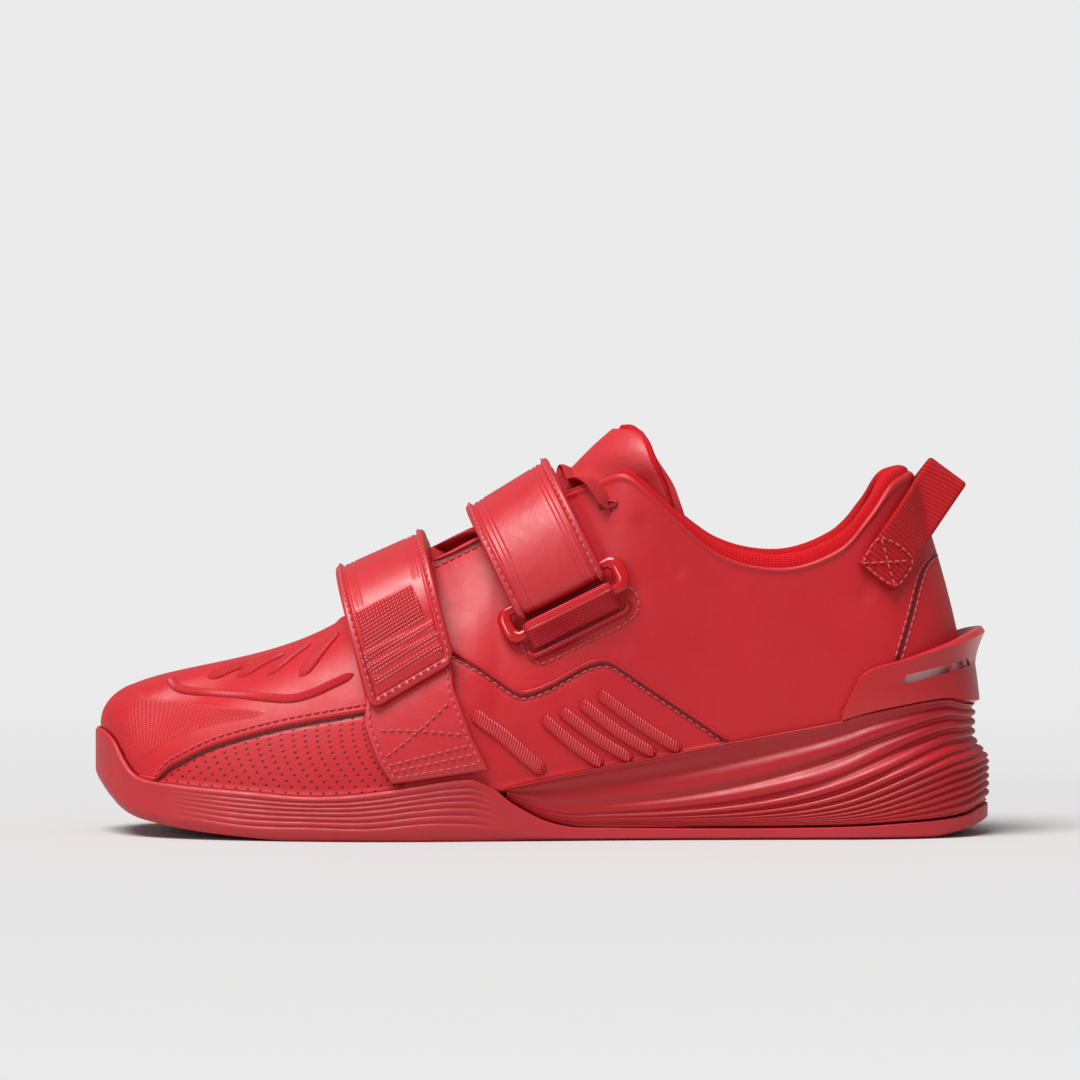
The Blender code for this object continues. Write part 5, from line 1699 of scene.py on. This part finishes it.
def cut_windows(made):
    for corners in CLIP_WINDOWS:
        places = [side_view(*corner) for corner in corners]
        sides = [[(x, y, z) for x, z in places] for y in (-BALL_WIDTH / 2, BALL_WIDTH / 2)]
        cutter = grid_object("window", np.array(sides), closed=True, capped=True)
        face_out(cutter)
        cut = made.modifiers.new("window", "BOOLEAN")
        cut.operation = "DIFFERENCE"
        cut.solver = "EXACT"
        cut.object = cutter
        bpy.context.view_layer.update()
        seen = made.evaluated_get(bpy.context.evaluated_depsgraph_get())
        result = bpy.data.meshes.new_from_object(seen)
        made.modifiers.clear()
        made.data = result
        bpy.data.objects.remove(cutter, do_unlink=True)
    made.data.set_sharp_from_angle(angle=math.radians(50))


def window_pane(corners, side):
    """Thin sheet behind a window, a little larger than it, coloured pale as a painted reflection."""
    near_a, near_b, far_b, far_a = np.array([side_view(*corner) for corner in corners])
    pane = []
    for u in np.linspace(-0.04, 1.04, 25):
        low, high = near_a * (1 - u) + near_b * u, far_a * (1 - u) + far_b * u
        places = [low * (1 - v) + high * v for v in np.linspace(-0.25, 1.25, 7)]
        pane.append([(x, side * (side_of_form(x, z, side) + 3 * GAP), z) for x, z in places])
    return grid_object("clip_pane", np.array(pane), uv=lengths(np.array(pane)))


middle, thick = clip_grid()
clip = ribbon("heel_clip_shell", middle, thick[:, None], blunt=0.93)[0]
cut_windows(clip)
# The pale pink sheets behind the windows are painted reflection: they stand in for the glossy windows'
# glint.
panes = joined("clip_panes", [window_pane(c, side) for c in CLIP_WINDOWS for side in (-1, 1)])
face_out(panes)
finish(panes, "heel_clip", plain_paint("pane_painted_reflection", (0.94, 0.62, 0.65), 0.10, coat=0.5))
counter_paint = plain_paint("glossy_counter", (0.56, 0.022, 0.028), 0.24, coat=0.15)
finish(clip, "heel_clip", counter_paint, "heel_clip")


# Pull loop. Grosgrain ribbon of polyester, folded in half over the back of the collar and
# box-stitched down on both sides of the heel.
LOOP_WIDTH = 0.0150
LOOP_THICKNESS = 0.0013
LOOP_FOLD = 0.0020
LOOP_FOOT = (0.8700, 0.715)
LOOP_TIP = (0.9540, 0.998)


def loop_grid():
    """Grid up the outer leg of the loop, over its crown and down the inner leg."""
    foot, tip = [Vector((x, 0.0, z)) for x, z in (side_view(*LOOP_FOOT), side_view(*LOOP_TIP))]
    up = (tip - foot).normalized()
    across = Vector((up.z, 0.0, -up.x))
    legs = []
    for side in (-1, 1):
        leg = []
        far = side_of_form(foot.x, foot.z, side) + 2 * GAP + LOOP_THICKNESS / 2
        for share in np.linspace(0.0, 1.0, 40):
            middle = foot.lerp(tip, float(share))
            off = 2 * GAP + LOOP_THICKNESS / 2 + LOOP_FOLD * min(1.0, 3 * share)
            row = []
            for column in np.linspace(-1.0, 1.0, 21):
                p = middle + across * (column * LOOP_WIDTH / 2)
                least = side_of_form(p.x, p.z, side) + off
                p.y = side * max(far + (LOOP_FOLD - far) * share ** 0.9, least)
                row.append(tuple(p))
            leg.append(row)
        legs.append(leg)
    onward = up * LOOP_FOLD * 0.9
    crown = [[(x + onward.x, 0.0, z + onward.z) for x, y, z in legs[0][-1]]]
    return softened(np.array(legs[0] + crown + legs[1][::-1]), 3)


def grosgrain_paint():
    paint = Paint("grosgrain", (0.50, 0.006, 0.014), 0.6, 0.25, Sheen_Weight=0.1,
                  Sheen_Tint=(1.0, 0.2, 0.22, 1.0))
    across, along = paint.ways()
    rib = paint.zigzag(across, 0.0008)
    paint.relief(rib, 0.00045)
    paint.relief(paint.zigzag(along, 0.00022), 0.00008)
    # Painted shade: the ribbon is darker between its ribs and lighter on their crests.
    paint.colour(rib, (0.36, 0.002, 0.005), (0.66, 0.007, 0.012))
    return paint.material


pull_loop, _, loop_face = ribbon("pull_loop_ribbon", loop_grid(), LOOP_THICKNESS, blunt=0.9)
finish(pull_loop, "pull_loop", grosgrain_paint(), "pull_loop")


# Stitching. Twisted polyester thread in the shoe's own red: single rows beside the seams,
# a double row at the counter, crossed boxes where straps and pull loop are sewn down.
STITCH_LENGTH = 0.0021
STITCH_PITCH = 0.0027
THREAD = 0.00075
THREAD_RED = (0.74, 0.060, 0.075)
# Rows on both sides of the upper, each moved by a few pixels from its line.
UPPER_ROWS = (
    (QUARTER_SEAM, (0.0, 7.0)),
    (VAMP_SEAM, (0.0, -5.0)),
    (EYESTAY[:4], (3.0, 6.0)),
    (COUNTER_SEAM, (0.0, 0.0)),
    (COUNTER_SEAM, (7.0, 1.0)),
)
SLOT_ROW = ((519, 628), (523, 642), (534, 654), (545, 657), (586, 637), (624, 618), (637, 604),
            (634, 588), (624, 581))


# Share along a stitch, share of the thread's thickness, and how far it stands out.
STITCH_SHAPE = ((0.0, 0.35, -0.2), (0.2, 0.9, 0.5), (0.5, 1.0, 0.75), (0.8, 0.9, 0.5),
                (1.0, 0.35, -0.2))
THREAD_SIDES = 6


def stitch(a, b, out, verts, faces):
    """One stitch between two places, sunk at both ends."""
    over = out.cross(b - a).normalized()
    first = len(verts)
    for share, size, lift in STITCH_SHAPE:
        centre = a.lerp(b, share) + out * (THREAD * lift * 0.5)
        for k in range(THREAD_SIDES):
            w = 2 * math.pi * k / THREAD_SIDES
            verts.append(tuple(centre + (over * math.cos(w) + out * math.sin(w)) * (THREAD / 2 * size)))
    rounds = len(STITCH_SHAPE)
    caps = [range(THREAD_SIDES)[::-1], range((rounds - 1) * THREAD_SIDES, rounds * THREAD_SIDES)]
    for face in grid_faces(rounds, THREAD_SIDES, True) + caps:
        faces.append(tuple(first + k for k in face))


def sewn(name, rows, slot_name):
    """Stitches along rows of (point, way out) pairs, as one piece."""
    verts, faces = [], []
    for row in rows:
        along = 0.0
        start = None
        for (p, out), (q, _) in zip(row, row[1:]):
            along += (q - p).length
            in_thread = along % STITCH_PITCH < STITCH_LENGTH
            if start is None and in_thread:
                start = p, out
            if start is not None and not in_thread:
                if (q - start[0]).length > STITCH_LENGTH * 0.4:
                    stitch(start[0], q, start[1], verts, faces)
                start = None
    mesh = bpy.data.meshes.new(name)
    mesh.from_pydata(verts, [], faces)
    mesh.shade_smooth()
    finish(placed(name, mesh), slot_name, RED_THREAD)


def skin_row(pixels, side=-1, shift=(0.0, 0.0)):
    """Row on the upper along pixels of the side view, moved by a few pixels."""
    moved = [(x + shift[0], y + shift[1]) for x, y in pixels]
    return [on_skin(p.x, p.y, side) for p in pixel_line(moved, 0.0003)]


def band_row(face, way, *places):
    """Row on a band's face along (row, column) places, both as shares from 0 to 1."""
    rows, columns = face.shape[:2]
    normals = grid_normals(face) * way
    row = []
    for p in smooth_line([place + (0.0,) for place in places], 0.0012):
        k = min(max(p.x, 0.0), 1.0) * (rows - 1)
        j = min(max(p.y, 0.0), 1.0) * (columns - 1)
        k0, j0 = min(int(k), rows - 2), min(int(j), columns - 2)
        u, v = k - k0, j - j0
        corners = ((k0, j0, (1 - u) * (1 - v)), (k0 + 1, j0, u * (1 - v)),
                   (k0, j0 + 1, (1 - u) * v), (k0 + 1, j0 + 1, u * v))
        point = sum((Vector(face[a, b]) * w for a, b, w in corners), Vector((0.0, 0.0, 0.0)))
        row.append((point, Vector(normals[k0, j0])))
    return row


def thread_paint():
    paint = Paint("red_thread", THREAD_RED, 0.5, 0.5, Sheen_Weight=0.2)
    values = {"bands_direction": "DIAGONAL", "Scale": 900.0, "Distortion": 0.0}
    twist_shade = paint.node("ShaderNodeTexWave", values, Vector=paint.solid()).outputs["Fac"]
    # Painted shade: darker diagonal bands stand in for the shade in the grooves of the thread's twist.
    paint.colour(twist_shade, tuple(c * 0.55 for c in THREAD_RED), THREAD_RED)
    return paint.material


RED_THREAD = thread_paint()
upper_rows = []
for side in (-1, 1):
    for line, shift in UPPER_ROWS:
        upper_rows.append(skin_row(line, side, shift))
sewn("upper_stitches", upper_rows, "upper")
sewn("slot_stitches", [skin_row(SLOT_ROW)], "upper")

strap_rows = []
for top, under in strap_faces.values():
    for column in (0.055, 0.945):
        strap_rows.append(band_row(top, 1, (0.01, column), (0.99, column)))
    strap_rows.append(band_row(top, 1, (0.978, 0.10), (0.978, 0.90)))
    foot = (BASE_STEPS - 1) / len(top)
    for place in (0.012, 0.026, 0.040):
        strap_rows.append(band_row(under, -1, (place, 0.08), (place, 0.92)))
    for a, b in ((0.10, 0.90), (0.90, 0.10)):
        strap_rows.append(band_row(under, -1, (0.055, a), (foot * 0.62, b)))
    for column in (0.06, 0.94):
        strap_rows.append(band_row(under, -1, (0.01, column), (foot, column)))
sewn("strap_stitches", strap_rows, "front_strap")

loop_rows = []
for a, b in ((0.012, 0.13), (0.988, 0.87)):
    corners = ((a, 0.08), (b, 0.08), (b, 0.92), (a, 0.92))
    for line in (corners + corners[:1], corners[::2], corners[1::2][::-1]):
        loop_rows.append(band_row(loop_face, -1, *line))
sewn("loop_stitches", loop_rows, "pull_loop")
